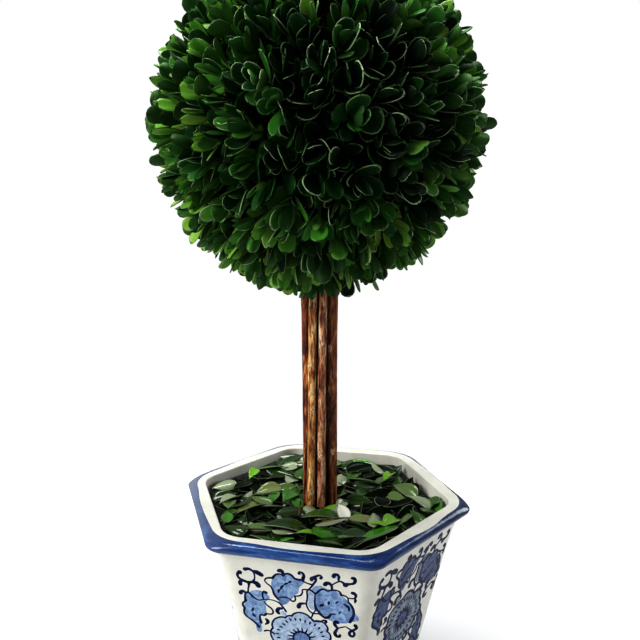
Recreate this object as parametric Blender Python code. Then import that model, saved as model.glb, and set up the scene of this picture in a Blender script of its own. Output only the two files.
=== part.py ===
"""Potted boxwood topiary: a clipped ball of preserved boxwood on a bundle of sticks.

The bundle stands in a six-sided glazed pot, which is filled to just under its rim with a
block that carries the sticks and with loose preserved leaves. Sizes are in metres. The
pot's flat underside lies on z = 0, its axis is the Z axis, and one flat side faces -Y.
"""

import math
import random

import bmesh
import bpy
from mathutils import Matrix, Vector
from mathutils.bvhtree import BVHTree

# Clearance between pieces that touch on the real object
GAP = 0.0003
FILL_GAP = 0.0004

# Pot: widths are across the flats of its hexagon, and corners are radii
POT_HEIGHT = 0.125
RIM_WIDTH = 0.1524
RIM_CORNER = 0.0275
BEAD_CORNER = 0.0100
BEAD_HALF_HEIGHT = 0.0032
BEAD_BULGE = 0.0036
BEAD_END = math.radians(-62)
BEAD_STEPS = 6
MOUTH_WIDTH = 0.1322
MOUTH_CORNER = 0.0145
LIP = 0.0012
NECK = 0.0087
BODY_TOP = POT_HEIGHT - NECK
BODY_CORNER = 0.0110
BODY_SLOPE = 0.20
BODY_FLARE = 0.0016
FLARE_POWER = 6
BODY_RINGS = 7
FOOT_WIDTH = 0.0912
FOOT_CORNER = 0.0085
FOOT_BEVEL = 0.0012
WALL = 0.0055
FLOOR = 0.0070
CAVITY_CORNER = 0.0055
CAVITY_RINGS = 4
CORNER_STEPS = 5
SMOOTH_ANGLE = math.radians(40)

# Block in the pot, and the layer of loose leaves on it
FILL_TOP = POT_HEIGHT - 0.0130
LITTER_BED = 0.0022
LITTER_TOP = POT_HEIGHT - 0.0015
LITTER_LEAVES = 90
LITTER_TRIES = 4000
LITTER_SPAN = 0.077
LITTER_LEAF = (0.017, 0.024)
LITTER_RISE = (math.radians(6), math.radians(24))
LITTER_ROLL = math.radians(28)
LITTER_SUNK = 0.0004
LITTER_DIP = 0.0018
LITTER_CORNER = 0.95
LITTER_MARGIN = 0.0012

# Stem: the row of sticks faces the view, VIEW_TURN round from the front side
VIEW_TURN = math.radians(12.67)
ACROSS = Vector((math.cos(VIEW_TURN), math.sin(VIEW_TURN), 0.0))
TOWARDS = Vector((math.sin(VIEW_TURN), -math.cos(VIEW_TURN), 0.0))
STEM_SHIFT = 0.0019
STICK_SIDES = 9
STICK_RINGS = 14
STICK_TAPER = 0.86
STICK_BOW = 0.0006
KNOT_HEIGHT = 0.0045
KNOT_SWELL = 0.22

# Space that litter, core and leaves leave to the sticks: half its width and half its depth
STEM_REACH = (0.0128, 0.0080)
STEM_SPACE_SIDES = 16
LEAF_CLEAR = 0.0008

# Each stick: across and towards the view at its foot, the same at its tip, its radius, and
# its knots as shares of its height with the degrees that they face, 90 being the view
STICKS = {
    "stick_left": ((-0.0079, -0.0019), (-0.0091, -0.0004), 0.0025, ((0.52, 20), (0.83, 150))),
    "stick_front_left": ((-0.0057, 0.0032), (-0.0039, 0.0030), 0.0025,
                         ((0.38, 80), (0.55, 170), (0.73, 60))),
    "stick_front_right": ((0.0008, 0.0034), (0.0023, 0.0031), 0.0028,
                          ((0.22, 150), (0.44, 10), (0.77, 90))),
    "stick_right": ((0.0077, 0.0000), (0.0082, 0.0004), 0.00275, ((0.19, 140), (0.56, 190))),
    "stick_back_left": ((-0.0022, -0.0026), (-0.0026, -0.0029), 0.0024, ((0.33, 250),)),
    "stick_back_right": ((0.0031, -0.0034), (0.0036, -0.0034), 0.0025, ((0.64, 290),)),
}

# Ball: reach to the tips of its leaves, and the solid core that they stand out of
BALL_HEIGHT = POT_HEIGHT + 0.2111
BALL_RADIUS = 0.0950
CORE_RADIUS = 0.0700
CORE_LUMPS = 0.0012
SOCKET_DEPTH = 0.0080
SOCKET_TOP = BALL_HEIGHT - CORE_RADIUS + SOCKET_DEPTH
CENTRE = ACROSS * -STEM_SHIFT + Vector((0.0, 0.0, BALL_HEIGHT))

# Sprigs of the ball: one twig each, every sixth of them forked
SPRIGS = 82
SPRIG_SUNK = 0.0050
SPRIG_LEAN = math.radians(8)
SHOOT_REACH = (0.0770, 0.0815)
FORK_EVERY = 6
FORK_PLACE = 0.6
FORK_LENGTH = 0.5
FORK_TURN = math.radians(30)
TWIG_WIDTH = 0.0020
TWIG_TIP = 0.75

# Leaves: the outline is in shares of length and of width, and is thickest at its ridge
LEAF_OUTLINE = ((0.0, 0.0), (0.54, -0.5), (1.0, -0.27), (1.0, 0.27), (0.54, 0.5))
LEAF_RIDGE = 0.42
LEAF_LENGTH = (0.0215, 0.0255)
SHORTEST_LEAF = 0.0110
LEAF_WIDTH = 0.62
LEAF_THICKNESS = 0.055
LEAF_SPREAD = (math.radians(30), math.radians(60))
TIP_LEAF_SPREAD = math.radians(7)
LEAF_TWIST = math.radians(40)
LEAF_ROOT = 0.00025
LEAF_TRIES = 7
LEAF_PAIRS = 2
FIRST_PAIR = 0.0020
PAIR_STEP = 0.0036
TIP_SUNK = 0.0012
TIP_REACH = (0.95, 1.0)
TRIM = 1.1
SEED = 7


def clear_scene():
    """Removes what the scene held before."""
    for thing in list(bpy.data.objects):
        bpy.data.objects.remove(thing, do_unlink=True)
    for mesh in list(bpy.data.meshes):
        bpy.data.meshes.remove(mesh)


def material(name, colour, roughness):
    """A plain Principled material."""
    mat = bpy.data.materials.new(name)
    mat.use_nodes = True
    shader = mat.node_tree.nodes["Principled BSDF"]
    shader.inputs["Base Color"].default_value = (*colour, 1.0)
    shader.inputs["Roughness"].default_value = roughness
    mat.diffuse_color = (*colour, 1.0)
    return mat


def add_object(name, bm, mat, smooth_angle=None):
    """Links a bmesh to the scene as one object, with its faces turned outward."""
    bmesh.ops.recalc_face_normals(bm, faces=bm.faces)
    mesh = bpy.data.meshes.new(name)
    bm.to_mesh(mesh)
    bm.free()
    mesh.materials.append(mat)
    if smooth_angle is not None:
        mesh.shade_smooth()
        mesh.set_sharp_from_angle(angle=smooth_angle)
    thing = bpy.data.objects.new(name, mesh)
    bpy.context.scene.collection.objects.link(thing)
    return thing


def rounded_hexagon(width, corner, z):
    """A level ring: a hexagon this wide across its flats, with rounded corners."""
    centre_distance = (width / 2 - corner) / math.cos(math.pi / 6)
    ring = []
    for side in range(6):
        middle = side * math.pi / 3
        for step in range(CORNER_STEPS + 1):
            turn = middle + math.pi / 6 * (2 * step / CORNER_STEPS - 1)
            x = centre_distance * math.cos(middle) + corner * math.cos(turn)
            y = centre_distance * math.sin(middle) + corner * math.sin(turn)
            ring.append(Vector((x, y, z)))
    return ring


def loft(rings):
    """A closed skin through rings of equal length, capped at the first and the last."""
    bm = bmesh.new()
    loops = [[bm.verts.new(point) for point in ring] for ring in rings]
    for lower, upper in zip(loops, loops[1:]):
        for i in range(len(lower)):
            j = (i + 1) % len(lower)
            bm.faces.new((lower[i], lower[j], upper[j], upper[i]))
    bm.faces.new(loops[0][::-1])
    bm.faces.new(loops[-1])
    return bm


def between(start, end, share):
    """The number this share of the way from one to another."""
    return start + (end - start) * share


def body_width(z):
    """Width of the pot's outside at a height: a straight taper that flares near the top."""
    flare = BODY_FLARE * (z / BODY_TOP) ** FLARE_POWER
    return FOOT_WIDTH + 2 * (BODY_SLOPE * z + flare)


def cavity_ring(z, clearance=0.0):
    """The pot's inside at a height up to the top of its body, or a ring this clear of it."""
    return rounded_hexagon(body_width(z) - 2 * (WALL + clearance), CAVITY_CORNER, z)


def bead_rings():
    """The rolled bead round the rim, from its top down to where it tucks into the body.

    Its corners are well rounded on top and come to a sharper point at its waist.
    """
    rings = []
    for step in range(BEAD_STEPS + 1):
        turn = between(math.pi / 2, BEAD_END, step / BEAD_STEPS)
        inset = BEAD_BULGE * (1 - math.cos(turn))
        corner = between(BEAD_CORNER, RIM_CORNER - inset, max(0.0, math.sin(turn)))
        z = POT_HEIGHT - BEAD_HALF_HEIGHT * (1 - math.sin(turn))
        rings.append(rounded_hexagon(RIM_WIDTH - 2 * inset, corner, z))
    return rings


def make_pot(mat):
    """The hollow pot: inside wall, flat rim, rolled bead, flared six-sided body and foot."""
    rings = []
    for step in range(CAVITY_RINGS):
        rings.append(cavity_ring(between(FLOOR, BODY_TOP, step / (CAVITY_RINGS - 1))))
    rings.append(rounded_hexagon(MOUTH_WIDTH, MOUTH_CORNER, POT_HEIGHT - LIP))
    rings.append(rounded_hexagon(MOUTH_WIDTH + LIP / 2, MOUTH_CORNER, POT_HEIGHT - LIP / 3))
    rings.append(rounded_hexagon(MOUTH_WIDTH + 2 * LIP, MOUTH_CORNER + LIP, POT_HEIGHT))
    rings += bead_rings()
    for step in range(BODY_RINGS):
        share = step / (BODY_RINGS - 1)
        z = between(BODY_TOP, FOOT_BEVEL, share)
        rings.append(rounded_hexagon(body_width(z), between(BODY_CORNER, FOOT_CORNER, share), z))
    rings.append(rounded_hexagon(FOOT_WIDTH - 2 * FOOT_BEVEL, FOOT_CORNER - FOOT_BEVEL, 0.0))
    return add_object("pot", loft(rings), mat, SMOOTH_ANGLE)


def make_fill(mat):
    """The block that fills the pot and carries the sticks, clear of the pot all round."""
    rings = []
    for step in range(CAVITY_RINGS):
        z = between(FLOOR + GAP, FILL_TOP, step / (CAVITY_RINGS - 1))
        rings.append(cavity_ring(z, FILL_GAP))
    return add_object("pot_fill", loft(rings), mat)


def view_point(across, towards, z):
    """A point from its place across and towards the view, counted from the stem's middle."""
    return ACROSS * (across - STEM_SHIFT) + TOWARDS * towards + Vector((0.0, 0.0, z))


def stem_ring(z, margin=0.0, sides=STEM_SPACE_SIDES):
    """A level ring round the space kept for the sticks, this much wider than it."""
    ring = []
    for side in range(sides):
        turn = 2 * math.pi * side / sides
        wide, deep = (reach + margin for reach in STEM_REACH)
        ring.append(view_point(wide * math.cos(turn), -deep * math.sin(turn), z))
    return ring


def clear_of_stem(point):
    """Whether a point lies outside the space kept for the sticks, or above it."""
    away = point - CENTRE
    wide, deep = (reach + LEAF_CLEAR for reach in STEM_REACH)
    outside = (away.dot(ACROSS) / wide) ** 2 + (away.dot(TOWARDS) / deep) ** 2 > 1
    return outside or point.z > SOCKET_TOP


def make_stick(name, foot, tip, radius, knots, mat):
    """One stick, tapering from its flat foot to its flat tip, slightly bowed and knotted."""
    low = view_point(*foot, FILL_TOP + GAP)
    high = view_point(*tip, SOCKET_TOP - GAP)
    rings = []
    for step in range(STICK_RINGS):
        share = step / (STICK_RINGS - 1)
        bow = math.radians(knots[0][1])
        bent = STICK_BOW * math.sin(math.pi * share)
        centre = low.lerp(high, share) + (ACROSS * math.cos(bow) + TOWARDS * math.sin(bow)) * bent
        ring = []
        for side in range(STICK_SIDES):
            turn = 2 * math.pi * side / STICK_SIDES
            size = between(1.0, STICK_TAPER, share)
            for place, degrees in knots:
                near = (share - place) * (high.z - low.z) / KNOT_HEIGHT
                faced = max(0.0, math.cos(turn - math.radians(degrees)))
                size += KNOT_SWELL * math.exp(-near * near) * faced
            way = ACROSS * math.cos(turn) + TOWARDS * math.sin(turn)
            ring.append(centre + way * radius * size)
        rings.append(ring)
    return add_object(name, loft(rings), mat, SMOOTH_ANGLE)


def frame_along(root, way, facing):
    """A transform with +X along one direction and +Z as near as may be to another."""
    x = way.normalized()
    y = facing.cross(x).normalized()
    z = x.cross(y)
    return Matrix.Translation(root) @ Matrix((x, y, z)).transposed().to_4x4()


def tilted(way, angle, spin):
    """A direction turned by an angle away from another, at a spin about it."""
    side = way.orthogonal().normalized()
    side.rotate(Matrix.Rotation(spin, 3, way))
    return (way * math.cos(angle) + side * math.sin(angle)).normalized()


def leaf_bmesh(root, way, facing, length):
    """A blunt, broad-tipped leaf: a thin lens, its outline drawn out from its root."""
    bm = bmesh.new()
    width, thickness = length * LEAF_WIDTH, length * LEAF_THICKNESS
    edge = [bm.verts.new((along * length, side * width, 0.0)) for along, side in LEAF_OUTLINE]
    above = bm.verts.new((LEAF_RIDGE * length, 0.0, thickness / 2))
    below = bm.verts.new((LEAF_RIDGE * length, 0.0, -thickness / 2))
    for i in range(len(edge)):
        j = (i + 1) % len(edge)
        bm.faces.new((edge[i], edge[j], above))
        bm.faces.new((edge[j], edge[i], below))
    bmesh.ops.transform(bm, verts=bm.verts, matrix=frame_along(root, way, facing))
    return bm


def twig_bmesh(root, tip, side_way):
    """A four-angled tapering twig with one of its flat sides facing a given way."""
    place = frame_along(root, tip - root, side_way)
    rings = []
    for along, width in ((0.0, TWIG_WIDTH), ((tip - root).length, TWIG_WIDTH * TWIG_TIP)):
        corners = ((-1, -1), (1, -1), (1, 1), (-1, 1))
        rings.append([place @ Vector((along, y * width / 2, z * width / 2)) for y, z in corners])
    return loft(rings)


class Foliage:
    """Twigs and leaves that one union joins to a base; those of two shoots never cross."""

    def __init__(self, mat):
        self.mat = mat
        self.group = bpy.data.collections.new("foliage")
        self.grown = []
        space = loft([stem_ring(z, LEAF_CLEAR) for z in (FLOOR, SOCKET_TOP)])
        self.stem = BVHTree.FromBMesh(space)
        space.free()

    def add(self, name, bm, shoot):
        """Adds a twig or leaf, unless it crosses one of another shoot or another leaf."""
        tree = BVHTree.FromBMesh(bm)
        if tree.overlap(self.stem) or not all(clear_of_stem(v.co) for v in bm.verts):
            bm.free()
            return False
        middle = sum((v.co for v in bm.verts), Vector()) / len(bm.verts)
        reach = max((v.co - middle).length for v in bm.verts)
        for its_name, its_shoot, its_middle, its_reach, its_tree in self.grown:
            joined = its_shoot == shoot and "twig" in (name, its_name)
            near = (its_middle - middle).length < reach + its_reach
            if near and not joined and tree.overlap(its_tree):
                bm.free()
                return False
        self.grown.append((name, shoot, middle, reach, tree))
        thing = add_object(name, bm, self.mat)
        bpy.context.scene.collection.objects.unlink(thing)
        self.group.objects.link(thing)
        return True

    def fuse_to(self, base):
        """Joins everything grown to the base, and removes the loose shapes."""
        union = base.modifiers.new("union", "BOOLEAN")
        union.operation = "UNION"
        union.operand_type = "COLLECTION"
        union.collection = self.group
        union.solver = "EXACT"
        apply_modifiers(base)
        for thing in list(self.group.objects):
            bpy.data.objects.remove(thing, do_unlink=True)
        bpy.data.collections.remove(self.group)


def apply_modifiers(thing):
    """Gives an object the mesh that its modifiers make."""
    graph = bpy.context.evaluated_depsgraph_get()
    thing.data = bpy.data.meshes.new_from_object(thing.evaluated_get(graph))
    thing.modifiers.clear()


def sphere_directions(count):
    """Directions spread evenly over a sphere by the golden angle."""
    golden = math.pi * (3 - math.sqrt(5))
    directions = []
    for i in range(count):
        z = 1 - 2 * (i + 0.5) / count
        flat = math.sqrt(1 - z * z)
        directions.append(Vector((flat * math.cos(golden * i), flat * math.sin(golden * i), z)))
    return directions


def make_core(mat):
    """The ball's solid core, with a round socket in its underside for the sticks."""
    bm = bmesh.new()
    bmesh.ops.create_icosphere(bm, subdivisions=3, radius=CORE_RADIUS)
    rng = random.Random(SEED + 3)
    for vert in bm.verts:
        vert.co *= 1 + rng.uniform(-CORE_LUMPS, CORE_LUMPS) / CORE_RADIUS
    bmesh.ops.translate(bm, verts=bm.verts, vec=CENTRE)
    core = add_object("boxwood_ball", bm, mat)
    depths = (SOCKET_TOP - 2 * SOCKET_DEPTH, SOCKET_TOP)
    cutter = add_object("socket_cutter", loft([stem_ring(z) for z in depths]), mat)
    socket = core.modifiers.new("socket", "BOOLEAN")
    socket.operation = "DIFFERENCE"
    socket.object = cutter
    socket.solver = "EXACT"
    apply_modifiers(core)
    bpy.data.objects.remove(cutter, do_unlink=True)
    return core


def shoot_nodes(start, tip, first_side):
    """Where a shoot's leaves grow: (root, side they lean to, least and most spread)."""
    way = (tip - start).normalized()
    nodes = [(tip - way * TIP_SUNK, first_side, (0.0, TIP_LEAF_SPREAD))]
    for pair in range(LEAF_PAIRS):
        place = tip - way * (FIRST_PAIR + PAIR_STEP * pair)
        for half in range(2):
            side = first_side.copy()
            side.rotate(Matrix.Rotation((pair / 2 + half) * math.pi, 3, way))
            nodes.append((place + side * LEAF_ROOT, side, LEAF_SPREAD))
    return nodes


def grow_shoot(foliage, shoot, start, tip, rng):
    """One twig with a leaf at its tip and opposite pairs below, each pair turned from the last."""
    way = (tip - start).normalized()
    first_side = tilted(way, math.pi / 2, rng.uniform(0, 2 * math.pi))
    if not foliage.add("twig", twig_bmesh(start, tip, first_side), shoot):
        return
    for root, side, spread in shoot_nodes(start, tip, first_side):
        for _ in range(LEAF_TRIES):
            angle = rng.uniform(*spread)
            leaf_way = way * math.cos(angle) + side * math.sin(angle)
            length = rng.uniform(*LEAF_LENGTH)
            reach = BALL_RADIUS * rng.uniform(*TIP_REACH)
            length -= TRIM * max(0.0, (root + leaf_way * length - CENTRE).length - reach)
            facing = way * math.sin(angle) - side * math.cos(angle)
            facing.rotate(Matrix.Rotation(rng.uniform(-LEAF_TWIST, LEAF_TWIST), 3, leaf_way))
            if length < SHORTEST_LEAF:
                continue
            if foliage.add("leaf", leaf_bmesh(root, leaf_way, facing, length), shoot):
                break


def make_ball(mat):
    """The clipped ball: its core, and the sprigs of leaves that stand out of it."""
    rng = random.Random(SEED)
    core = make_core(mat)
    foliage = Foliage(mat)
    for number, heading in enumerate(sphere_directions(SPRIGS)):
        root = CENTRE + heading * (CORE_RADIUS - SPRIG_SUNK)
        way = tilted(heading, rng.uniform(0, SPRIG_LEAN), rng.uniform(0, 2 * math.pi))
        reach = rng.uniform(*SHOOT_REACH) - CORE_RADIUS + SPRIG_SUNK
        grow_shoot(foliage, number, root, root + way * reach, rng)
        if number % FORK_EVERY == 0:
            fork = root + way * reach * FORK_PLACE
            side_way = tilted(way, FORK_TURN, rng.uniform(0, 2 * math.pi))
            grow_shoot(foliage, number, fork, fork + side_way * reach * FORK_LENGTH, rng)
    foliage.fuse_to(core)
    return core


def within_pot(point, clearance):
    """Whether a point lies inside the pot's wall, this clear of it."""
    half = body_width(min(point.z, BODY_TOP)) / 2 - WALL - clearance
    turns = [math.radians(30 + 60 * side) for side in range(6)]
    away = max(point.x * math.cos(turn) + point.y * math.sin(turn) for turn in turns)
    corner = half / math.cos(math.pi / 6) * LITTER_CORNER
    return away < half and math.hypot(point.x, point.y) < corner


def litter_bed(mat):
    """The packed layer under the loose leaves: it fills the pot, with a hole for the stem."""
    low = FILL_TOP + GAP
    outer = cavity_ring(low, FILL_GAP)
    hole = stem_ring(low, sides=len(outer))
    lift = Vector((0, 0, LITTER_BED))
    sections = [outer, [p + lift for p in outer], [p + lift for p in hole], hole]
    bm = bmesh.new()
    loops = [[bm.verts.new(point) for point in ring] for ring in sections]
    for k, loop in enumerate(loops):
        following = loops[(k + 1) % len(loops)]
        for i in range(len(loop)):
            j = (i + 1) % len(loop)
            bm.faces.new((loop[i], loop[j], following[j], following[i]))
    return add_object("leaf_litter", bm, mat)


def litter_leaf(surface, rng):
    """One loose leaf that rises gently from its root in the packed layer."""
    away = LITTER_SPAN * math.sqrt(rng.random())
    turn = rng.uniform(0, 2 * math.pi)
    root = Vector((away * math.cos(turn), away * math.sin(turn), surface - LITTER_SUNK))
    level = rng.uniform(0, 2 * math.pi)
    rise = rng.uniform(*LITTER_RISE)
    way = Vector((math.cos(level), math.sin(level), math.tan(rise))).normalized()
    facing = Vector((0, 0, 1))
    facing.rotate(Matrix.Rotation(rng.uniform(-LITTER_ROLL, LITTER_ROLL), 3, way))
    return leaf_bmesh(root, way, facing, rng.uniform(*LITTER_LEAF))


def make_litter(mat):
    """Loose leaves that lie on the packed layer, each with its root sunk in it."""
    rng = random.Random(SEED + 1)
    bed = litter_bed(mat)
    foliage = Foliage(mat)
    surface = FILL_TOP + GAP + LITTER_BED
    kept = 0
    for number in range(LITTER_TRIES):
        leaf = litter_leaf(surface, rng)
        inside = all(within_pot(v.co, LITTER_MARGIN) for v in leaf.verts)
        level = all(surface - LITTER_DIP < v.co.z < LITTER_TOP for v in leaf.verts)
        if not (inside and level):
            leaf.free()
        elif foliage.add("leaf", leaf, number):
            kept += 1
        if kept == LITTER_LEAVES:
            break
    foliage.fuse_to(bed)
    return bed


def build():
    """Makes the whole plant in its pot."""
    clear_scene()
    make_pot(material("pot_glaze", (0.80, 0.79, 0.74), 0.12))
    make_fill(material("fill_foam", (0.10, 0.13, 0.07), 0.95))
    make_litter(material("litter_leaves", (0.035, 0.075, 0.018), 0.5))
    bark = material("stick_bark", (0.23, 0.085, 0.032), 0.55)
    for name, (foot, tip, radius, knots) in STICKS.items():
        make_stick(name, foot, tip, radius, knots, bark)
    make_ball(material("boxwood_leaves", (0.022, 0.085, 0.018), 0.42))


build()
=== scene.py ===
"""The looks of the potted boxwood topiary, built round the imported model.

Sizes are in metres, apart from the painting of the pot, which is drawn in millimetres
across a side and up from the foot. The seeded rules below give the same plant each run.
"""

import math
import random

import bmesh
import bpy
import numpy as np
from mathutils import Matrix, Vector, noise
from mathutils.bvhtree import BVHTree
from mathutils.geometry import delaunay_2d_cdt


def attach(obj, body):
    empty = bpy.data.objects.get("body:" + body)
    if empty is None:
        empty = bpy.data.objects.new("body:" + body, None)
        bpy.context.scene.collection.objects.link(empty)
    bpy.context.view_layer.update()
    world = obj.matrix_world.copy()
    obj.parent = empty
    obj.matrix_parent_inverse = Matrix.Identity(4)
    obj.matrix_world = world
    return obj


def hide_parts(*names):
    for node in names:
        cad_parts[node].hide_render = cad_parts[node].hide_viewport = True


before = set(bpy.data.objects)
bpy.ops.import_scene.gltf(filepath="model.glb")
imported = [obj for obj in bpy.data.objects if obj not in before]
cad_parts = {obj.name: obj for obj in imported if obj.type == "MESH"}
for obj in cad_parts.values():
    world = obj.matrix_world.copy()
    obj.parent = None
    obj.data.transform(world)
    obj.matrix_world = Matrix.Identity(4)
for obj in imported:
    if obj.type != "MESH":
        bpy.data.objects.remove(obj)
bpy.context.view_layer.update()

# Pot: widths are across the flats of its hexagon, and corners are radii
POT_HEIGHT = 0.125
RIM_WIDTH = 0.1524
RIM_CORNER = 0.0275
BEAD_CORNER = 0.0100
BEAD_HALF_HEIGHT = 0.0032
BEAD_BULGE = 0.0036
BEAD_END = math.radians(-62)
BEAD_RINGS = 16

# The bead's blue: how far in it laps away from and towards one way, how much more it laps at
# the corners, and how much and how finely it wanders
BLUE_LAP = (-0.0012, 0.0005)
BLUE_LAP_WAY = math.radians(222)
BLUE_AT_CORNER = 0.0009
BLUE_WANDER = 0.0005
WANDER_SCALE = 60
BLUE_START = 0.05
GLAZE_SHOULDER = 0.0003

# The mouth, the body, the foot and the inside
MOUTH_WIDTH = 0.1322
MOUTH_CORNER = 0.0145
LIP = 0.0012
BODY_TOP = POT_HEIGHT - 0.0087
BODY_CORNER = 0.0110
BODY_SLOPE = 0.20
BODY_FLARE = 0.0016
FLARE_POWER = 6
BODY_ROWS = 26
ROW_POWER = 1.25
FOOT_WIDTH = 0.0912
FOOT_CORNER = 0.0085
FOOT_BEVEL = 0.0012
FOOT_RIM = 0.0055
FOOT_RECESS = 0.0022
FOOT_RECESS_CORNER = 0.002
WALL = 0.0055
FLOOR = 0.0070
CAVITY_CORNER = 0.0055
CAVITY_RINGS = 8

# The lip's rings as shares of it: out from the mouth, down from the top, and more corner
LIP_STEPS = ((0.0, 1.0, 0.0), (0.12, 0.55, 0.05), (0.4, 0.22, 0.3), (0.95, 0.03, 0.8), (2.0, 0.0, 1.0))

# Columns of a side: its flat runs from -1 to 1, and half of each corner beyond it
ARC_SHARE = 0.16
ARC_COLUMNS = 4
FLAT_COLUMNS = 16
SIDES = 6
MM = 0.001

# The painting is cut in a plane where half a flat is PLANE_HALF wide, and heights are in mm
PLANE_HALF = 30.0
PANEL_EDGE = (1 + ARC_SHARE) * PLANE_HALF
CDT_EPSILON = 0.004
NEAR = 1e-3

# Stem: the row of sticks faces the view, VIEW_TURN round from the front side
GAP = 0.0003
FILL_TOP = POT_HEIGHT - 0.0130
VIEW_TURN = math.radians(12.67)
ACROSS = Vector((math.cos(VIEW_TURN), math.sin(VIEW_TURN), 0.0))
TOWARDS = Vector((math.sin(VIEW_TURN), -math.cos(VIEW_TURN), 0.0))
STEM_SHIFT = 0.0019
STEM_REACH = (0.0124, 0.0076)
STICK_SIDES = 40
STICK_RINGS = 190
STICK_TAPER = 0.98
STICK_BOW = 0.0006
STICK_WOBBLE = 0.00025
WOBBLE_WAVES = 7
STICKS_APART = 3.1
KNOT_HEIGHT = 0.0045
KNOT_SWELL = 0.22
KNOT_REACH = 0.0024

# Ball
BALL_HEIGHT = POT_HEIGHT + 0.2111
BALL_RADIUS = 0.0950
BALL_BULGE = 0.0028
SOCKET_TOP = BALL_HEIGHT - 0.0620
CENTRE = ACROSS * -STEM_SHIFT + Vector((0.0, 0.0, BALL_HEIGHT))
BULGE_WAY = (ACROSS * -0.42 + TOWARDS * 0.15 + Vector((0.0, 0.0, -0.89))).normalized()
SEED = 7

# Unless it is seeded, noise_vector differs from run to run
noise.seed_set(SEED)


def between(start, end, share):
    """The number this share of the way from one to another."""
    return start + (end - start) * share


def round_turns(count):
    """Angles evenly round a circle."""
    return [2 * math.pi * k / count for k in range(count)]


def view_point(across, towards, z):
    """A point from its place across and towards the view, counted from the stem's middle."""
    return ACROSS * (across - STEM_SHIFT) + TOWARDS * towards + Vector((0.0, 0.0, z))


def view_way(turn):
    """A level direction, turned from across the view to towards it."""
    return ACROSS * math.cos(turn) + TOWARDS * math.sin(turn)


def tilted(way, angle, spin):
    """A direction turned by an angle away from another, at a spin about it."""
    side = way.orthogonal().normalized()
    side.rotate(Matrix.Rotation(spin, 3, way))
    return (way * math.cos(angle) + side * math.sin(angle)).normalized()


def frame_along(root, way, facing):
    """A transform with +X along one direction and +Z as near as may be to another."""
    x = way.normalized()
    y = facing.cross(x).normalized()
    z = x.cross(y)
    return Matrix.Translation(root) @ Matrix((x, y, z)).transposed().to_4x4()


def sphere_directions(count):
    """Directions spread evenly over a sphere by the golden angle."""
    golden = math.pi * (3 - math.sqrt(5))
    directions = []
    for i in range(count):
        z = 1 - 2 * (i + 0.5) / count
        flat = math.sqrt(1 - z * z)
        directions.append(Vector((flat * math.cos(golden * i), flat * math.sin(golden * i), z)))
    return directions


def belt(first, second, flip=False):
    """Faces between two closed rings of point numbers, facing the other way if flipped."""
    corners = (first, second, second[1:] + second[:1], first[1:] + first[:1])
    order = (0, 3, 2, 1) if flip else (0, 1, 2, 3)
    return list(zip(*(corners[k] for k in order)))


def tube(rings, sides, flip=False):
    """Faces of a tube whose points run round it, ring by ring."""
    numbers = [list(range(k * sides, (k + 1) * sides)) for k in range(rings)]
    return [face for pair in zip(numbers, numbers[1:]) for face in belt(*pair, flip)]


def joined(parts):
    """One mesh of many parts, each (points, faces)."""
    points, faces = [], []
    for its_points, its_faces in parts:
        base = len(points)
        faces += [tuple(base + i for i in face) for face in its_faces]
        points += its_points
    return points, faces


def link(name, data):
    """A new object in the scene."""
    thing = bpy.data.objects.new(name, data)
    bpy.context.scene.collection.objects.link(thing)
    return thing


def aim(thing, place, way):
    """Puts a light or camera at a place, looking one way."""
    thing.location = place
    thing.rotation_euler = way.to_track_quat("-Z", "Y").to_euler()


def new_mesh(name, points, faces, mats):
    """A mesh with its materials."""
    mesh = bpy.data.meshes.new(name)
    mesh.from_pydata(points, [], faces)
    for mat in mats:
        mesh.materials.append(mat)
    return mesh


def add_piece(name, points, faces, mats, picks, slot, nodes):
    """Links a smooth mesh that rides on the root body and stands for nodes of the frame."""
    mesh = new_mesh(name, points, faces, mats)
    if picks is not None:
        mesh.polygons.foreach_set("material_index", picks)
    mesh.shade_smooth()
    mesh.update()
    piece = link(name, mesh)
    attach(piece, "root")
    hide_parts(*nodes)
    return piece


PLAIN = (1.0, 1.0, 1.0)
BLANK = (0.0, 0.0, 0.0)


def feed(tree, node, inputs):
    """Sets a node's inputs, or links those that are given as another node's output."""
    for key, value in inputs.items():
        if isinstance(value, bpy.types.NodeSocket):
            tree.links.new(value, node.inputs[key])
        else:
            node.inputs[key].default_value = value


def new_node(tree, kind, inputs, **settings):
    """A new shader node of a kind, with its settings and inputs."""
    node = tree.nodes.new("ShaderNode" + kind)
    for key, value in settings.items():
        setattr(node, key, value)
    feed(tree, node, inputs)
    return node


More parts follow.
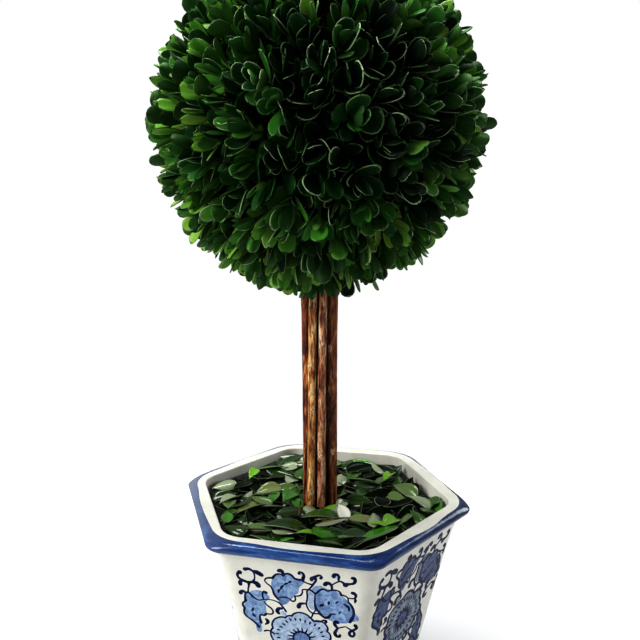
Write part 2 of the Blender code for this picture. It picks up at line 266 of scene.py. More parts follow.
class Look:
    """A material in the making: a Principled shader and the nodes that feed it."""

    def __init__(self, name, colour, roughness, **inputs):
        """Starts as one colour, with other inputs of the shader by their names."""
        self.mat = bpy.data.materials.new(name)
        self.mat.use_nodes = True
        self.mat.diffuse_color = (*colour, 1.0)
        self.tree = self.mat.node_tree
        self.shader = self.tree.nodes["Principled BSDF"]
        self.coordinates = None
        self.use(Base_Color=(*colour, 1.0), Roughness=roughness, **inputs)

    def use(self, **inputs):
        """Sets or feeds inputs of the shader."""
        feed(self.tree, self.shader, {key.replace("_", " "): value for key, value in inputs.items()})

    def node(self, kind, inputs, **settings):
        """A new node of a kind, with its settings and inputs."""
        return new_node(self.tree, kind, inputs, **settings)

    def place(self, stretch=(1, 1, 1), shift=(0, 0, 0)):
        """Object coordinates, stretched and then shifted along each axis."""
        if self.coordinates is None:
            self.coordinates = self.tree.nodes.new("ShaderNodeTexCoord").outputs["Object"]
        inputs = {"Vector": self.coordinates, "Location": shift, "Scale": stretch}
        return self.node("Mapping", inputs).outputs["Vector"]

    def noise(self, scale, detail=3.0, roughness=0.55, stretch=(1, 1, 1), distortion=0.0):
        """Noise of a scale, mostly from 0.3 to 0.7."""
        inputs = {"Vector": self.place(stretch), "Scale": scale, "Detail": detail,
                  "Roughness": roughness, "Distortion": distortion}
        return self.node("TexNoise", inputs).outputs["Fac"]

    def across(self, low, high):
        """How far the surface lies from one X to another, from 0 to 1."""
        parts = self.node("SeparateXYZ", {"Vector": self.place()})
        return self.spread(parts.outputs["X"], 0.0, 1.0, low, high)

    def away(self, spot, reach, flatten):
        """Distance from a point, where 0.5 is the reach, measured shorter along Z."""
        scale = Vector((0.5 / reach, 0.5 / reach, 0.5 / reach * flatten))
        near = self.place(scale, -spot * scale)
        return self.node("VectorMath", {0: near}, operation="LENGTH").outputs["Value"]

    def ramp(self, value, *stops):
        """A colour ramp through (place, colour) stops."""
        node = self.node("ValToRGB", {"Fac": value})
        elements = node.color_ramp.elements
        while len(elements) < len(stops):
            elements.new(0.5)
        for element, (place, colour) in zip(elements, stops):
            element.position = place
            element.color = (*colour, 1.0)
        return node.outputs["Color"]

    def mix(self, share, *colours, mode="MIX"):
        """Two colours mixed by a share, each an output or a plain colour."""
        first, second = [(*c, 1.0) if isinstance(c, tuple) else c for c in colours]
        inputs = {0: share, 6: first, 7: second}
        return self.node("Mix", inputs, data_type="RGBA", blend_type=mode).outputs[2]

    def shade(self, share, colour, other):
        """A colour multiplied by a share of another."""
        return self.mix(share, colour, other, mode="MULTIPLY")

    def spread(self, value, low, high, from_low=0.3, from_high=0.7):
        """A value carried over to another range."""
        inputs = {"Value": value, 1: from_low, 2: from_high, 3: low, 4: high}
        return self.node("MapRange", inputs).outputs["Result"]

    def add(self, first, second, share):
        """One value plus a share of another."""
        return self.node("Math", {0: second, 1: share, 2: first}, operation="MULTIPLY_ADD").outputs[0]

    def bump(self, height, distance):
        """Fine relief from a height."""
        node = self.node("Bump", {"Height": height, "Strength": 1.0, "Distance": distance})
        self.use(Normal=node.outputs["Normal"])


def glazed(look):
    """Adds the faint waves, pits and changing gloss that all of the glaze shares."""
    look.bump(look.add(look.noise(150.0, 2.0), look.noise(1100.0, 3.0), 0.12), 0.00022)
    look.use(Roughness=look.spread(look.noise(90.0, 4.0), 0.09, 0.20))
    return look.mat


def glaze_look():
    """Off-white glaze: warm, slightly clouded, with a few small specks."""
    look = Look("pot_glaze_cream", (0.70, 0.69, 0.63), 0.12)
    clouds = look.ramp(look.noise(55.0, 4.0), (0.30, (0.62, 0.615, 0.545)),
                       (0.55, (0.69, 0.685, 0.625)), (0.80, (0.75, 0.745, 0.70)))
    specks = look.ramp(look.noise(900.0, 2.0), (0.22, (0.42, 0.36, 0.27)), (0.27, PLAIN))
    look.use(Base_Color=look.shade(0.6, clouds, specks))
    return glazed(look)


# Where along X the bead's blue begins to take a painted reflection and is lightest, to the left,
# and where it begins to take painted shade and is darkest, to the right
BLUE_PAINTED_LIGHT = (-0.026, -0.090)
BLUE_PAINTED_SHADE = (0.030, 0.088)


def cobalt_look():
    """The bead's cobalt: it pools and thins in streaks. A painted reflection lightens it to the left
    of the view, and painted shade darkens it to the right.
    """
    look = Look("pot_cobalt_bead", (0.03, 0.075, 0.27), 0.12)
    streaks = look.noise(70.0, 5.0, 0.6, (1.0, 1.0, 7.0), 0.6)
    colour = look.ramp(streaks, (0.30, (0.007, 0.026, 0.115)), (0.48, (0.015, 0.056, 0.205)),
                       (0.62, (0.040, 0.120, 0.31)), (0.80, (0.13, 0.26, 0.46)))
    grain = look.ramp(look.noise(1400.0, 3.0), (0.35, (0.72, 0.76, 0.86)), (0.6, PLAIN))
    colour = look.shade(0.7, colour, grain)
    # Painted reflection: a lighter, greyer blue to the left of the view
    colour = look.mix(look.across(*BLUE_PAINTED_LIGHT), colour, (0.175, 0.20, 0.25))
    # Painted shade: darker to the right of the view
    painted_shade = look.ramp(look.across(*BLUE_PAINTED_SHADE), (0.0, PLAIN), (1.0, (0.62, 0.50, 0.36)))
    look.use(Base_Color=look.shade(1.0, colour, painted_shade))
    return glazed(look)


def painted_look(name, dark, middle, light, scale, gloss=0.5):
    """Blue painted under the glaze, uneven as brushed watery colour is."""
    look = Look(name, middle, 0.12, Specular_IOR_Level=gloss)
    pools = look.noise(scale, 4.0, 0.62, distortion=0.8)
    colour = look.ramp(pools, (0.34, dark), (0.50, middle), (0.64, light))
    grain = look.ramp(look.noise(1500.0, 2.0), (0.35, (0.82, 0.85, 0.92)), (0.6, PLAIN))
    look.use(Base_Color=look.shade(0.6, colour, grain))
    return glazed(look)


def bisque_look():
    """The unglazed clay of the foot."""
    look = Look("pot_bisque", (0.62, 0.53, 0.42), 0.85)
    clay = look.ramp(look.noise(300.0, 5.0), (0.3, (0.50, 0.42, 0.32)), (0.7, (0.68, 0.60, 0.49)))
    look.use(Base_Color=clay)
    look.bump(look.noise(2200.0, 4.0), 0.0002)
    return look.mat


def rough_look(name, colour, roughness, noise_values, low, high, relief, **inputs):
    """A dry look: one noise runs between two (place, colour) stops and makes the relief."""
    look = Look(name, colour, roughness, **inputs)
    grain = look.noise(*noise_values)
    look.use(Base_Color=look.ramp(grain, low, high))
    look.bump(grain, relief)
    return look.mat


def foam_look():
    """Dry foam: fine open cells, dark green."""
    return rough_look("fill_foam_cells", (0.045, 0.06, 0.03), 0.95, (1600.0, 3.0),
                      (0.35, (0.015, 0.022, 0.010)), (0.65, (0.07, 0.09, 0.045)), 0.0006)


def bark_look(name, dark, middle, light, tan, patches, knots):
    """Bark in long streaks, cracked along the stick, with grey scaly patches and pale knots."""
    look = Look(name, middle, 0.5, Specular_IOR_Level=0.4)
    streaks = look.noise(1.0, 6.0, 0.64, (400.0, 400.0, 70.0), 0.6)
    fibres = look.noise(1.0, 4.0, 0.6, (1500.0, 1500.0, 260.0), 0.4)
    scales = look.noise(1.0, 5.0, 0.7, (330.0, 330.0, 120.0), 1.0)
    colour = look.ramp(streaks, (0.36, dark), (0.46, middle), (0.55, light), (0.65, tan))
    colour = look.shade(0.90, colour, look.ramp(fibres, (0.37, (0.10, 0.07, 0.06)), (0.49, PLAIN)))
    share = look.spread(scales, 0.0, 0.85, patches, patches + 0.07)
    colour = look.mix(share, colour, (0.62, 0.50, 0.38))
    wood = look.ramp(look.noise(1300.0, 4.0, 0.6), (0.40, (0.20, 0.07, 0.025)),
                     (0.48, (0.72, 0.42, 0.19)), (0.58, (1.0, 0.82, 0.58)))
    for spot in knots:
        ragged = look.add(look.away(spot, KNOT_REACH, 0.6), scales, 0.8)
        ring = look.ramp(ragged, (0.42, BLANK), (0.50, PLAIN), (0.66, (0.8, 0.8, 0.8)), (0.80, BLANK))
        colour = look.mix(ring, colour, wood)
    look.use(Base_Color=colour, Roughness=look.spread(streaks, 0.26, 0.60))
    look.bump(look.add(look.add(streaks, fibres, 0.5), scales, 0.4), 0.0011)
    return look.mat


def leaf_looks(name, tones, roughness, gloss, first=1):
    """Leaf tones, each of one colour, because sprays of leaves are told apart by theirs."""
    return [Look(f"{name}_{first + k}", tone, roughness, Specular_IOR_Level=gloss).mat
            for k, tone in enumerate(tones)]


def twig_look():
    """The thin green-brown twigs that carry the leaves."""
    return rough_look("boxwood_twig", (0.05, 0.042, 0.020), 0.7, (1.0, 4.0, 0.6, (900.0, 900.0, 300.0)),
                      (0.3, (0.020, 0.020, 0.008)), (0.7, (0.085, 0.062, 0.030)), 0.0003)


def core_moss_and_shade_look():
    """The ball's inside: moss and the stubs of twigs, seen only between leaves, near black as painted
    shade.
    """
    # Painted shade: the moss is near black so that the gaps between leaves look dark
    return rough_look("boxwood_core_moss_and_shade", (0.004, 0.008, 0.003), 0.95, (420.0, 5.0),
                      (0.35, (0.0015, 0.003, 0.001)), (0.7, (0.009, 0.016, 0.005)), 0.0015,
                      Specular_IOR_Level=0.1)


def crumb_and_shade_look():
    """The crumbled leaves that the loose ones lie on, darkened as painted shade between them."""
    # Painted shade: the crumbs are near black so the gaps between loose leaves look dark
    return rough_look("litter_bed_crumbs_and_shade", (0.008, 0.010, 0.005), 0.95, (700.0, 5.0),
                      (0.4, (0.003, 0.004, 0.002)), (0.7, (0.022, 0.024, 0.011)), 0.001)


def body_width(z):
    """Width of the pot's outside at a height: a straight taper that flares near the top."""
    flare = BODY_FLARE * (z / BODY_TOP) ** FLARE_POWER
    return FOOT_WIDTH + 2 * (BODY_SLOPE * z + flare)


def body_corner(z):
    """The body's corner radius at a height."""
    return between(BODY_CORNER, FOOT_CORNER, (BODY_TOP - z) / (BODY_TOP - FOOT_BEVEL))


def section_point(column, width, corner):
    """Across a side and out from the pot's axis, at one column of a level section."""
    out = width / 2 - corner
    half = out * math.tan(math.pi / 6)
    past = abs(column) - 1
    if past <= 0:
        return column * half, out + corner
    turn = math.pi / 6 * past / ARC_SHARE
    return math.copysign(half + corner * math.sin(turn), column), out + corner * math.cos(turn)


def side_frame(side):
    """The directions across and out of one side of the pot; side 0 faces -Y."""
    turn = math.pi / 3 * side
    across = Vector((math.cos(turn), math.sin(turn), 0.0))
    return across, Vector((math.sin(turn), -math.cos(turn), 0.0))


def side_point(side, column, width, corner, z):
    """The point of a level section at one column of one side."""
    across, out = side_frame(side)
    u, away = section_point(column, width, corner)
    return across * u + out * away + Vector((0.0, 0.0, z))


def side_columns():
    """The columns of one side, from its left corner's middle up to but not at its right one."""
    arc = [ARC_SHARE * k / ARC_COLUMNS for k in range(1, ARC_COLUMNS + 1)]
    flat = [2 * k / FLAT_COLUMNS - 1 for k in range(FLAT_COLUMNS + 1)]
    return [-1 - step for step in arc[::-1]] + flat + [1 + step for step in arc[:-1]]


def pot_columns():
    """Every column round the pot, as (side, column)."""
    return [(side, column) for side in range(SIDES) for column in side_columns()]


def level_ring(width, corner, z):
    """A level ring of points round the pot."""
    return [side_point(*at, width, corner, z) for at in pot_columns()]


def bead_point(side, column, turn):
    """A point of the rolled bead at one turn of its section."""
    inset = BEAD_BULGE * (1 - math.cos(turn))
    corner = between(BEAD_CORNER, RIM_CORNER - inset, max(0.0, math.sin(turn)))
    z = POT_HEIGHT - BEAD_HALF_HEIGHT * (1 - math.sin(turn))
    return side_point(side, column, RIM_WIDTH - 2 * inset, corner, z)


def blue_lap(spot):
    """How far in on the rim's flat top the blue begins, or how far out on the bead if below 0."""
    heading = math.atan2(spot.y, spot.x)
    near = (1 + math.cos(heading - BLUE_LAP_WAY)) / 2
    corner = BLUE_AT_CORNER * math.cos(SIDES * heading)
    return between(*BLUE_LAP, near) + corner + BLUE_WANDER * noise.noise(spot * WANDER_SCALE)


def flat_top_point(side, column, inset):
    """A point of the rim's flat top, by its distance in from the bead's outside."""
    return side_point(side, column, RIM_WIDTH - 2 * inset, RIM_CORNER - inset, POT_HEIGHT)


def bead_rings():
    """The bead's rings. The first is glaze, and the blue begins at the second, which wanders."""
    rings = [[] for _ in range(BEAD_RINGS + 3)]
    for at in pot_columns():
        lap = blue_lap(bead_point(*at, 0.0))
        first = math.pi / 2 + min(lap, 0.0) / BEAD_BULGE
        rings[0].append(flat_top_point(*at, BEAD_BULGE + max(lap, 0.0) + GLAZE_SHOULDER))
        if lap > 0:
            rings[1].append(flat_top_point(*at, BEAD_BULGE + lap))
        else:
            rings[1].append(bead_point(*at, first))
        for step in range(BEAD_RINGS + 1):
            turn = between(first - BLUE_START, BEAD_END, step / BEAD_RINGS)
            rings[step + 2].append(bead_point(*at, turn))
    return rings


def pot_rings():
    """Rings from the inside floor over the rim to the bead's end, and where blue begins."""
    levels = [between(FLOOR, BODY_TOP, step / (CAVITY_RINGS - 1)) for step in range(CAVITY_RINGS)]
    rings = [level_ring(body_width(z) - 2 * WALL, CAVITY_CORNER, z) for z in levels]
    for out, down, corner in LIP_STEPS:
        rings.append(level_ring(MOUTH_WIDTH + LIP * out, MOUTH_CORNER + LIP * corner,
                                POT_HEIGHT - LIP * down))
    return rings + bead_rings(), len(rings) + 1


def column_of(across, z):
    """The column of a side at a distance from its middle, measured round the body, in mm."""
    width, corner = body_width(z * MM) / MM, body_corner(z * MM) / MM
    half = (width / 2 - corner) * math.tan(math.pi / 6)
    past = abs(across) - half
    if past <= 0:
        return across / half
    return math.copysign(1 + ARC_SHARE * past / (corner * math.pi / 6), across)


# How much wider the brush draws than the widths given for its strokes, in mm
BRUSH_WEIGHT = 1.20


def smooth(points, closed=False, steps=4):
    """Points along a smooth curve that passes through the given ones."""
    n = len(points)
    out = []
    for i in range(n if closed else n - 1):
        near = [(i + k) % n if closed else min(max(i + k, 0), n - 1) for k in (-1, 0, 1, 2)]
        for step in range(steps):
            t = step / steps
            w = (-t + 2 * t**2 - t**3, 2 - 5 * t**2 + 3 * t**3, t + 4 * t**2 - 3 * t**3, t**3 - t**2)
            out.append(tuple(sum(a * points[j][k] for a, j in zip(w, near)) / 2 for k in (0, 1)))
    if not closed:
        out.append(tuple(points[-1]))
    return out


def brush(widths, *points):
    """The outline of a brush stroke, whose width runs evenly through the given widths."""
    line = smooth(points)
    left, right, caps = [], [], []
    for i, (x, z) in enumerate(line):
        (x0, z0), (x1, z1) = line[max(i - 1, 0)], line[min(i + 1, len(line) - 1)]
        length = math.hypot(x1 - x0, z1 - z0) or 1.0
        place = i / (len(line) - 1) * (len(widths) - 1)
        k = min(int(place), len(widths) - 2)
        half = between(widths[k], widths[k + 1], place - k) * BRUSH_WEIGHT / 2
        along = ((x1 - x0) / length * half, (z1 - z0) / length * half)
        left.append((x - along[1], z + along[0]))
        right.append((x + along[1], z - along[0]))
        if i in (0, len(line) - 1):
            way = -0.9 if i == 0 else 0.9
            caps.append((x + way * along[0], z + way * along[1]))
    return left + [caps[1]] + right[::-1] + [caps[0]]


def knob(x, z, radius):
    """A round dab of the brush."""
    return [(x + radius * math.cos(t), z + radius * math.sin(t)) for t in round_turns(12)]


def wash(*points):
    """A filled patch with a soft outline through the given points."""
    return smooth(points, closed=True)


def corner_scroll():
    """The cloud scroll in the upper left corner."""
    return [
        knob(-29.4, 106.1, 1.35),
        brush((1.5, 1.2, 1.5, 1.4, 0.9), (-30.2, 105.9), (-30.8, 104.1), (-30.1, 102.2), (-28.0, 100.9),
              (-25.2, 100.2), (-22.9, 100.9), (-21.7, 102.6)),
        brush((0.7, 0.8, 1.3, 1.9), (-21.7, 102.4), (-21.4, 105.0), (-21.9, 107.5), (-24.0, 109.0),
              (-26.2, 108.6)),
        knob(-26.3, 108.6, 1.15),
        brush((1.2, 2.4, 2.2), (-22.3, 107.9), (-20.0, 107.4), (-17.6, 106.1)),
        knob(-17.5, 106.0, 1.15),
        brush((1.5, 1.9, 2.0), (-28.6, 100.9), (-29.8, 99.7), (-29.8, 98.5)),
        knob(-29.8, 98.3, 1.1),
        brush((1.3, 2.4, 2.6), (-23.0, 100.6), (-21.0, 100.2), (-19.9, 98.7)),
        knob(-19.9, 98.6, 1.4),
        brush((1.9, 1.0, 0.8, 0.8), (-25.1, 100.1), (-25.2, 98.0), (-25.7, 96.0), (-26.0, 93.8)),
    ]


def left_leaf():
    """The lobed leaf on the left, and the stem that runs over it."""
    return [
        knob(-30.2, 92.5, 1.2),
        brush((1.9, 1.4, 0.8), (-30.3, 92.8), (-29.0, 93.8), (-27.4, 93.1), (-25.9, 93.7)),
        brush((0.8, 0.9, 1.5), (-26.2, 93.4), (-27.7, 92.3), (-28.0, 90.0), (-27.9, 87.5)),
        brush((0.9, 1.0, 1.1), (-28.1, 87.4), (-29.6, 85.8), (-29.7, 83.9), (-28.8, 82.6)),
        brush((1.1, 0.9, 0.9, 1.0, 1.4), (-28.9, 82.7), (-29.5, 80.6), (-29.3, 78.4), (-27.9, 76.7),
              (-25.6, 75.0), (-23.4, 73.0), (-21.9, 70.8)),
        brush((0.9, 1.1, 0.7, 0.5), (-25.9, 93.7), (-24.3, 91.8), (-22.6, 90.1), (-20.6, 89.1),
              (-18.3, 89.8)),
        brush((0.5, 0.6, 0.9, 1.0), (-18.3, 89.8), (-15.5, 90.4), (-12.3, 90.2), (-9.6, 89.1), (-8.0, 87.2),
              (-6.8, 85.4), (-6.0, 83.7)),
        brush((1.2, 1.7, 1.9, 1.3), (-7.9, 85.6), (-9.9, 85.2), (-10.9, 83.4), (-10.0, 81.8)),
        brush((0.6, 0.9, 0.8, 0.7), (-17.6, 88.6), (-16.3, 86.5), (-14.3, 84.9), (-13.2, 83.0),
              (-13.8, 81.1), (-15.8, 80.6), (-17.1, 80.8)),
        brush((1.2, 1.0, 0.9, 1.6), (-17.0, 80.8), (-18.2, 79.4), (-20.4, 79.3), (-20.9, 77.0),
              (-20.5, 74.0)),
        brush((1.6, 1.0, 0.8, 0.9), (-15.9, 94.5), (-17.3, 95.2), (-18.2, 93.6), (-18.1, 91.6),
              (-17.6, 89.9)),
        brush((1.3, 1.8, 0.5), (-17.6, 76.9), (-16.7, 75.9), (-17.0, 74.4), (-18.4, 73.2)),
        brush((0.4, 1.3, 0.4), (-24.0, 83.6), (-24.5, 82.2), (-25.0, 80.9)),
        brush((0.4, 1.4, 0.6), (-24.7, 80.0), (-24.2, 78.5), (-23.2, 77.6)),
    ]


def bud():
    """The hanging bud in the middle of the top."""
    return [
        brush((0.6, 0.9, 1.2), (-16.3, 102.6), (-15.4, 104.1), (-13.6, 104.8), (-11.6, 105.0)),
        brush((1.2, 1.0, 0.8, 0.9), (-11.8, 104.9), (-10.2, 107.1), (-8.5, 108.1), (-6.7, 107.9),
              (-5.9, 107.1)),
        brush((0.9, 1.1, 1.1, 1.3), (-5.9, 107.2), (-4.7, 108.6), (-2.9, 109.0), (-1.2, 108.1),
              (0.0, 106.5), (1.8, 106.0), (4.3, 106.0)),
        brush((0.9, 0.7, 1.0), (4.2, 105.5), (6.4, 104.4), (9.0, 103.8)),
        brush((0.6, 0.8, 0.9, 1.1, 1.0), (-16.3, 102.6), (-15.0, 100.8), (-13.2, 99.3), (-12.3, 97.0),
              (-11.8, 94.4), (-10.6, 92.5), (-9.5, 91.2)),
        brush((1.7, 1.9, 1.4), (-8.3, 110.0), (-6.9, 110.6), (-6.0, 109.2), (-5.9, 107.4)),
        knob(-7.8, 110.3, 1.0),
        brush((1.4, 1.0, 1.2, 1.6, 1.5), (2.6, 109.7), (2.9, 110.9), (4.4, 110.7), (5.1, 109.0),
              (4.6, 107.4), (4.2, 105.6)),
        brush((0.8, 0.7, 0.8, 0.8), (8.3, 100.2), (5.8, 100.2), (3.8, 99.7), (3.6, 97.9), (2.6, 96.0),
              (0.9, 95.2), (-0.8, 94.9)),
        brush((0.9, 0.7, 0.9, 0.8), (-0.8, 95.0), (-0.4, 93.2), (-0.9, 91.7), (-2.2, 91.4), (-3.2, 92.2)),
        brush((0.6, 1.3, 0.5), (-6.2, 101.2), (-7.4, 99.6), (-7.9, 98.2)),
        brush((0.4, 1.3, 0.5), (-8.2, 98.1), (-9.1, 97.2), (-9.3, 95.8)),
        brush((0.4, 1.1, 0.4), (-3.6, 102.8), (-4.9, 102.3), (-5.7, 101.5)),
        brush((0.4, 1.2, 0.4), (-1.8, 104.5), (-2.7, 103.7), (-3.6, 103.4)),
        brush((0.5, 0.9, 0.4), (-9.4, 92.6), (-6.0, 93.4), (-2.8, 92.4)),
    ]


def crest():
    """The scrolls along the top right."""
    return [
        brush((1.6, 1.1, 1.2, 1.1, 1.5), (9.0, 106.6), (8.8, 108.0), (11.0, 109.3), (13.2, 110.4),
              (14.3, 109.5), (13.7, 108.5)),
        brush((0.9, 1.2, 1.1, 0.9, 0.8), (9.1, 106.9), (10.4, 107.9), (11.2, 108.4), (11.1, 106.6),
              (10.1, 104.9), (8.9, 102.9), (7.9, 101.4), (6.9, 100.2)),
        knob(15.8, 104.9, 1.15),
        brush((2.0, 1.8, 1.2, 1.0), (15.9, 105.2), (17.1, 106.1), (18.7, 105.5), (19.3, 103.9),
              (19.1, 101.7)),
        brush((0.7, 0.7, 1.0, 1.4), (19.2, 105.0), (21.0, 106.6), (23.2, 108.1), (24.8, 107.8),
              (26.2, 106.6)),
        brush((1.9, 1.5, 1.1, 0.9), (20.5, 110.5), (20.9, 111.9), (22.5, 112.2), (23.3, 110.9),
              (22.9, 109.4), (23.2, 108.1)),
        knob(26.3, 106.3, 1.45),
        brush((1.8, 1.1, 1.4, 1.7, 1.4), (26.6, 106.8), (28.6, 107.2), (30.5, 107.9), (31.4, 109.6),
              (30.9, 111.2), (29.7, 111.0)),
    ]


def right_leaf():
    """The large leaf on the right."""
    return [
        brush((0.8, 1.0, 0.9), (7.6, 100.4), (9.0, 99.5), (10.3, 98.1)),
        brush((0.9, 1.0, 1.0, 0.7), (10.3, 98.1), (12.0, 99.8), (13.9, 101.6), (15.6, 101.7),
              (16.9, 100.8)),
        brush((0.7, 0.9, 0.8, 1.2), (16.8, 100.8), (18.8, 101.7), (21.2, 102.1), (23.1, 101.4),
              (24.0, 99.3)),
        brush((0.9, 0.7, 0.7), (23.9, 99.3), (25.6, 99.3), (27.1, 98.3), (27.4, 96.7), (27.2, 95.5)),
        brush((0.8, 1.0, 1.1, 1.2, 1.6, 1.2), (27.3, 95.6), (28.9, 93.6), (29.9, 90.6), (29.9, 87.6),
              (28.9, 84.8), (27.7, 82.3)),
        brush((0.6, 1.2, 1.1, 0.6), (24.9, 94.0), (26.4, 92.9), (27.5, 91.6), (27.6, 89.7)),
        brush((0.7, 0.8, 0.8, 0.8), (6.8, 100.1), (6.0, 98.9), (6.1, 96.2), (5.8, 93.6), (5.3, 91.0),
              (5.7, 88.4), (6.8, 86.3), (8.4, 84.9)),
        brush((0.5, 0.7, 0.8, 1.5), (10.3, 98.0), (10.0, 95.0), (9.8, 91.5), (10.3, 88.3)),
        brush((0.9, 0.6, 0.7), (10.2, 88.0), (9.5, 86.5), (8.5, 85.2)),
        brush((0.7, 0.9, 1.5, 1.0, 0.6), (8.4, 84.9), (11.4, 85.3), (13.1, 84.3), (14.8, 83.3),
              (16.7, 84.0), (17.6, 85.4), (18.3, 86.3), (20.6, 86.6)),
        brush((1.4, 1.2, 1.1), (10.3, 88.2), (11.6, 86.6), (13.2, 84.5)),
        knob(1.0, 88.2, 1.2),
        brush((2.2, 1.3, 0.8), (1.1, 88.6), (1.9, 90.2), (3.6, 90.8), (5.3, 90.9)),
        knob(29.8, 101.6, 1.0),
        brush((1.8, 1.4, 0.8, 0.6), (30.0, 101.8), (31.2, 100.9), (31.3, 99.4), (30.2, 98.2),
              (27.5, 98.1)),
        brush((0.7, 1.3, 0.7), (31.0, 98.6), (31.1, 97.0), (30.7, 95.6)),
        brush((0.5, 1.5, 0.4), (14.6, 92.2), (13.3, 91.1), (11.9, 90.6)),
        brush((0.6, 1.3, 0.5), (17.3, 94.3), (17.2, 93.3), (17.0, 92.2)),
        brush((0.4, 0.9, 0.4), (22.3, 95.2), (21.4, 94.3), (20.6, 93.6)),
        brush((0.4, 0.9, 0.4), (23.3, 88.6), (22.6, 87.8), (22.3, 86.9)),
        brush((0.8, 0.7, 0.8, 0.9), (8.4, 85.0), (8.0, 83.4), (7.3, 81.6), (8.4, 80.0), (10.4, 80.1),
              (12.3, 80.2)),
        brush((0.8, 1.0, 1.5), (12.2, 80.1), (13.7, 81.3), (15.2, 81.3), (15.0, 80.1)),
    ]


def fork_scroll():
    """The forked scroll beside the lotus."""
    return [
        brush((1.6, 1.8, 1.6, 1.1), (21.6, 80.9), (20.7, 81.7), (19.7, 80.3), (20.3, 78.6), (21.3, 77.5)),
        brush((1.0, 1.4, 1.7, 1.4, 1.2), (21.3, 77.6), (20.4, 75.9), (19.6, 73.9), (20.4, 72.1),
              (21.9, 72.1), (22.3, 73.3)),
        brush((0.8, 0.6, 0.9), (21.2, 77.5), (23.2, 78.3), (25.2, 79.1), (26.8, 78.4), (28.3, 77.4)),
        brush((0.9, 1.2, 1.8), (28.2, 77.3), (29.9, 77.9), (31.1, 79.3), (30.4, 81.0)),
        brush((1.2, 1.5, 1.1, 1.2), (28.7, 77.3), (27.5, 75.8), (27.4, 74.2), (28.6, 73.3), (29.8, 74.4),
              (29.7, 76.1), (28.8, 77.3)),
    ]


# The lotus in the middle: each lobe starts at an angle and a radius, and bulges by an amount
LOTUS = (1.4, 66.8)
LOBES = (
    (163, 16.2, 2.2), (122, 15.2, 0.6), (107, 15.3, 2.1), (71, 16.0, 0.3), (61, 14.9, 2.7),
    (28, 15.9, 1.0), (6, 15.2, 2.2), (-32, 15.4, 2.0), (-64, 15.3, 1.8), (-95, 15.6, 1.9),
    (-128, 15.2, 2.1), (-164, 15.6, 1.2),
)
LOBE_SHARES = (0.0, 0.18, 0.5, 0.82, 1.0)
LOTUS_TICKS = 30
LOTUS_STAMENS = 17


def polar(degrees, radius):
    """A point at an angle and a radius from the middle of the lotus."""
    turn = math.radians(degrees)
    return (LOTUS[0] + radius * math.cos(turn), LOTUS[1] + radius * math.sin(turn))


def lobe(k):
    """Points along the arc of one petal of the lotus."""
    start, low, bulge = LOBES[k]
    end, high, _ = LOBES[(k + 1) % len(LOBES)]
    if end > start:
        end -= 360
    return [polar(between(start, end, s), between(low, high, s) + bulge * math.sin(math.pi * s) ** 0.7)
            for s in LOBE_SHARES]


def lotus():
    """The lotus: its petals' outline, a ring of ticks, its stamens and its heart."""
    strokes = [brush((0.9, 0.8, 1.0), *lobe(k)) for k in range(len(LOBES))]
    for k in range(LOTUS_TICKS):
        turn = 90 - 360 * k / LOTUS_TICKS
        reach = 12.8 + 0.5 * math.sin(5 * k)
        strokes.append(brush((0.4, 0.9, 0.5), polar(turn, reach - 0.9), polar(turn, reach),
                             polar(turn + 1, reach + 0.9)))
    for k in range(LOTUS_STAMENS):
        turn = 84 - 360 * k / LOTUS_STAMENS
        strokes.append(brush((1.1, 0.8, 0.35), polar(turn, 4.6), polar(turn, 6.0),
                             polar(turn + 2, 7.8 + 0.6 * math.sin(7 * k))))
    ring = [polar(360 * k / 30, 4.7 + 0.35 * (-1) ** k) for k in range(30)]
    strokes.append(brush((0.8, 0.8), *ring, ring[0]))
    strokes.append(brush((0.9, 0.8, 1.0), (-19.2, 68.6), (-17.0, 69.4), (-14.9, 68.6), (-13.4, 67.4)))
    return strokes


def mid_washes():
    """The middle blue that fills the leaves and the bud."""
    return [
        wash((-26.0, 93.0), (-23.5, 95.0), (-20.3, 95.6), (-17.6, 95.0), (-14.6, 92.6), (-14.8, 90.6),
             (-16.8, 88.4), (-17.0, 84.4), (-17.2, 80.8), (-20.6, 79.0), (-20.7, 74.4), (-22.0, 70.4),
             (-25.6, 75.0), (-29.0, 77.8), (-29.4, 83.0), (-28.2, 88.0), (-27.8, 92.0)),
        wash((-12.4, 103.0), (-11.0, 106.0), (-8.6, 108.0), (-6.0, 107.4), (-3.0, 108.8), (-0.6, 107.2),
             (1.6, 106.0), (4.6, 105.4), (4.4, 103.6), (2.0, 100.6), (1.4, 97.4), (-0.8, 95.4),
             (-2.6, 92.4), (-6.4, 88.4), (-9.4, 91.2), (-11.8, 95.4), (-12.8, 99.6)),
        wash((8.4, 100.0), (10.4, 103.0), (13.4, 103.8), (17.0, 102.2), (21.0, 101.6), (24.0, 99.2),
             (26.6, 96.8), (28.8, 93.4), (30.2, 89.6), (32.4, 86.0), (32.0, 83.8), (29.0, 83.0),
             (25.6, 81.4), (20.6, 81.0), (16.8, 82.2), (13.2, 84.4), (10.4, 88.0), (10.2, 93.0),
             (10.2, 97.8)),
    ]


def pale_washes():
    """The thinnest blue: the turned edge of the right leaf, and the small scrolls."""
    return [
        wash((6.6, 99.2), (8.4, 99.8), (9.9, 97.4), (9.7, 92.0), (10.0, 88.2), (8.0, 87.4), (6.4, 89.6),
             (6.2, 94.0)),
        wash((-9.8, 82.2), (-8.0, 84.2), (-6.4, 83.0), (-5.8, 81.6), (-8.0, 80.6)),
        wash((20.2, 110.4), (20.8, 111.8), (22.4, 112.0), (23.0, 110.6), (21.8, 109.9)),
        wash((2.8, 109.4), (3.2, 110.8), (4.6, 110.2), (4.6, 108.8)),
    ]


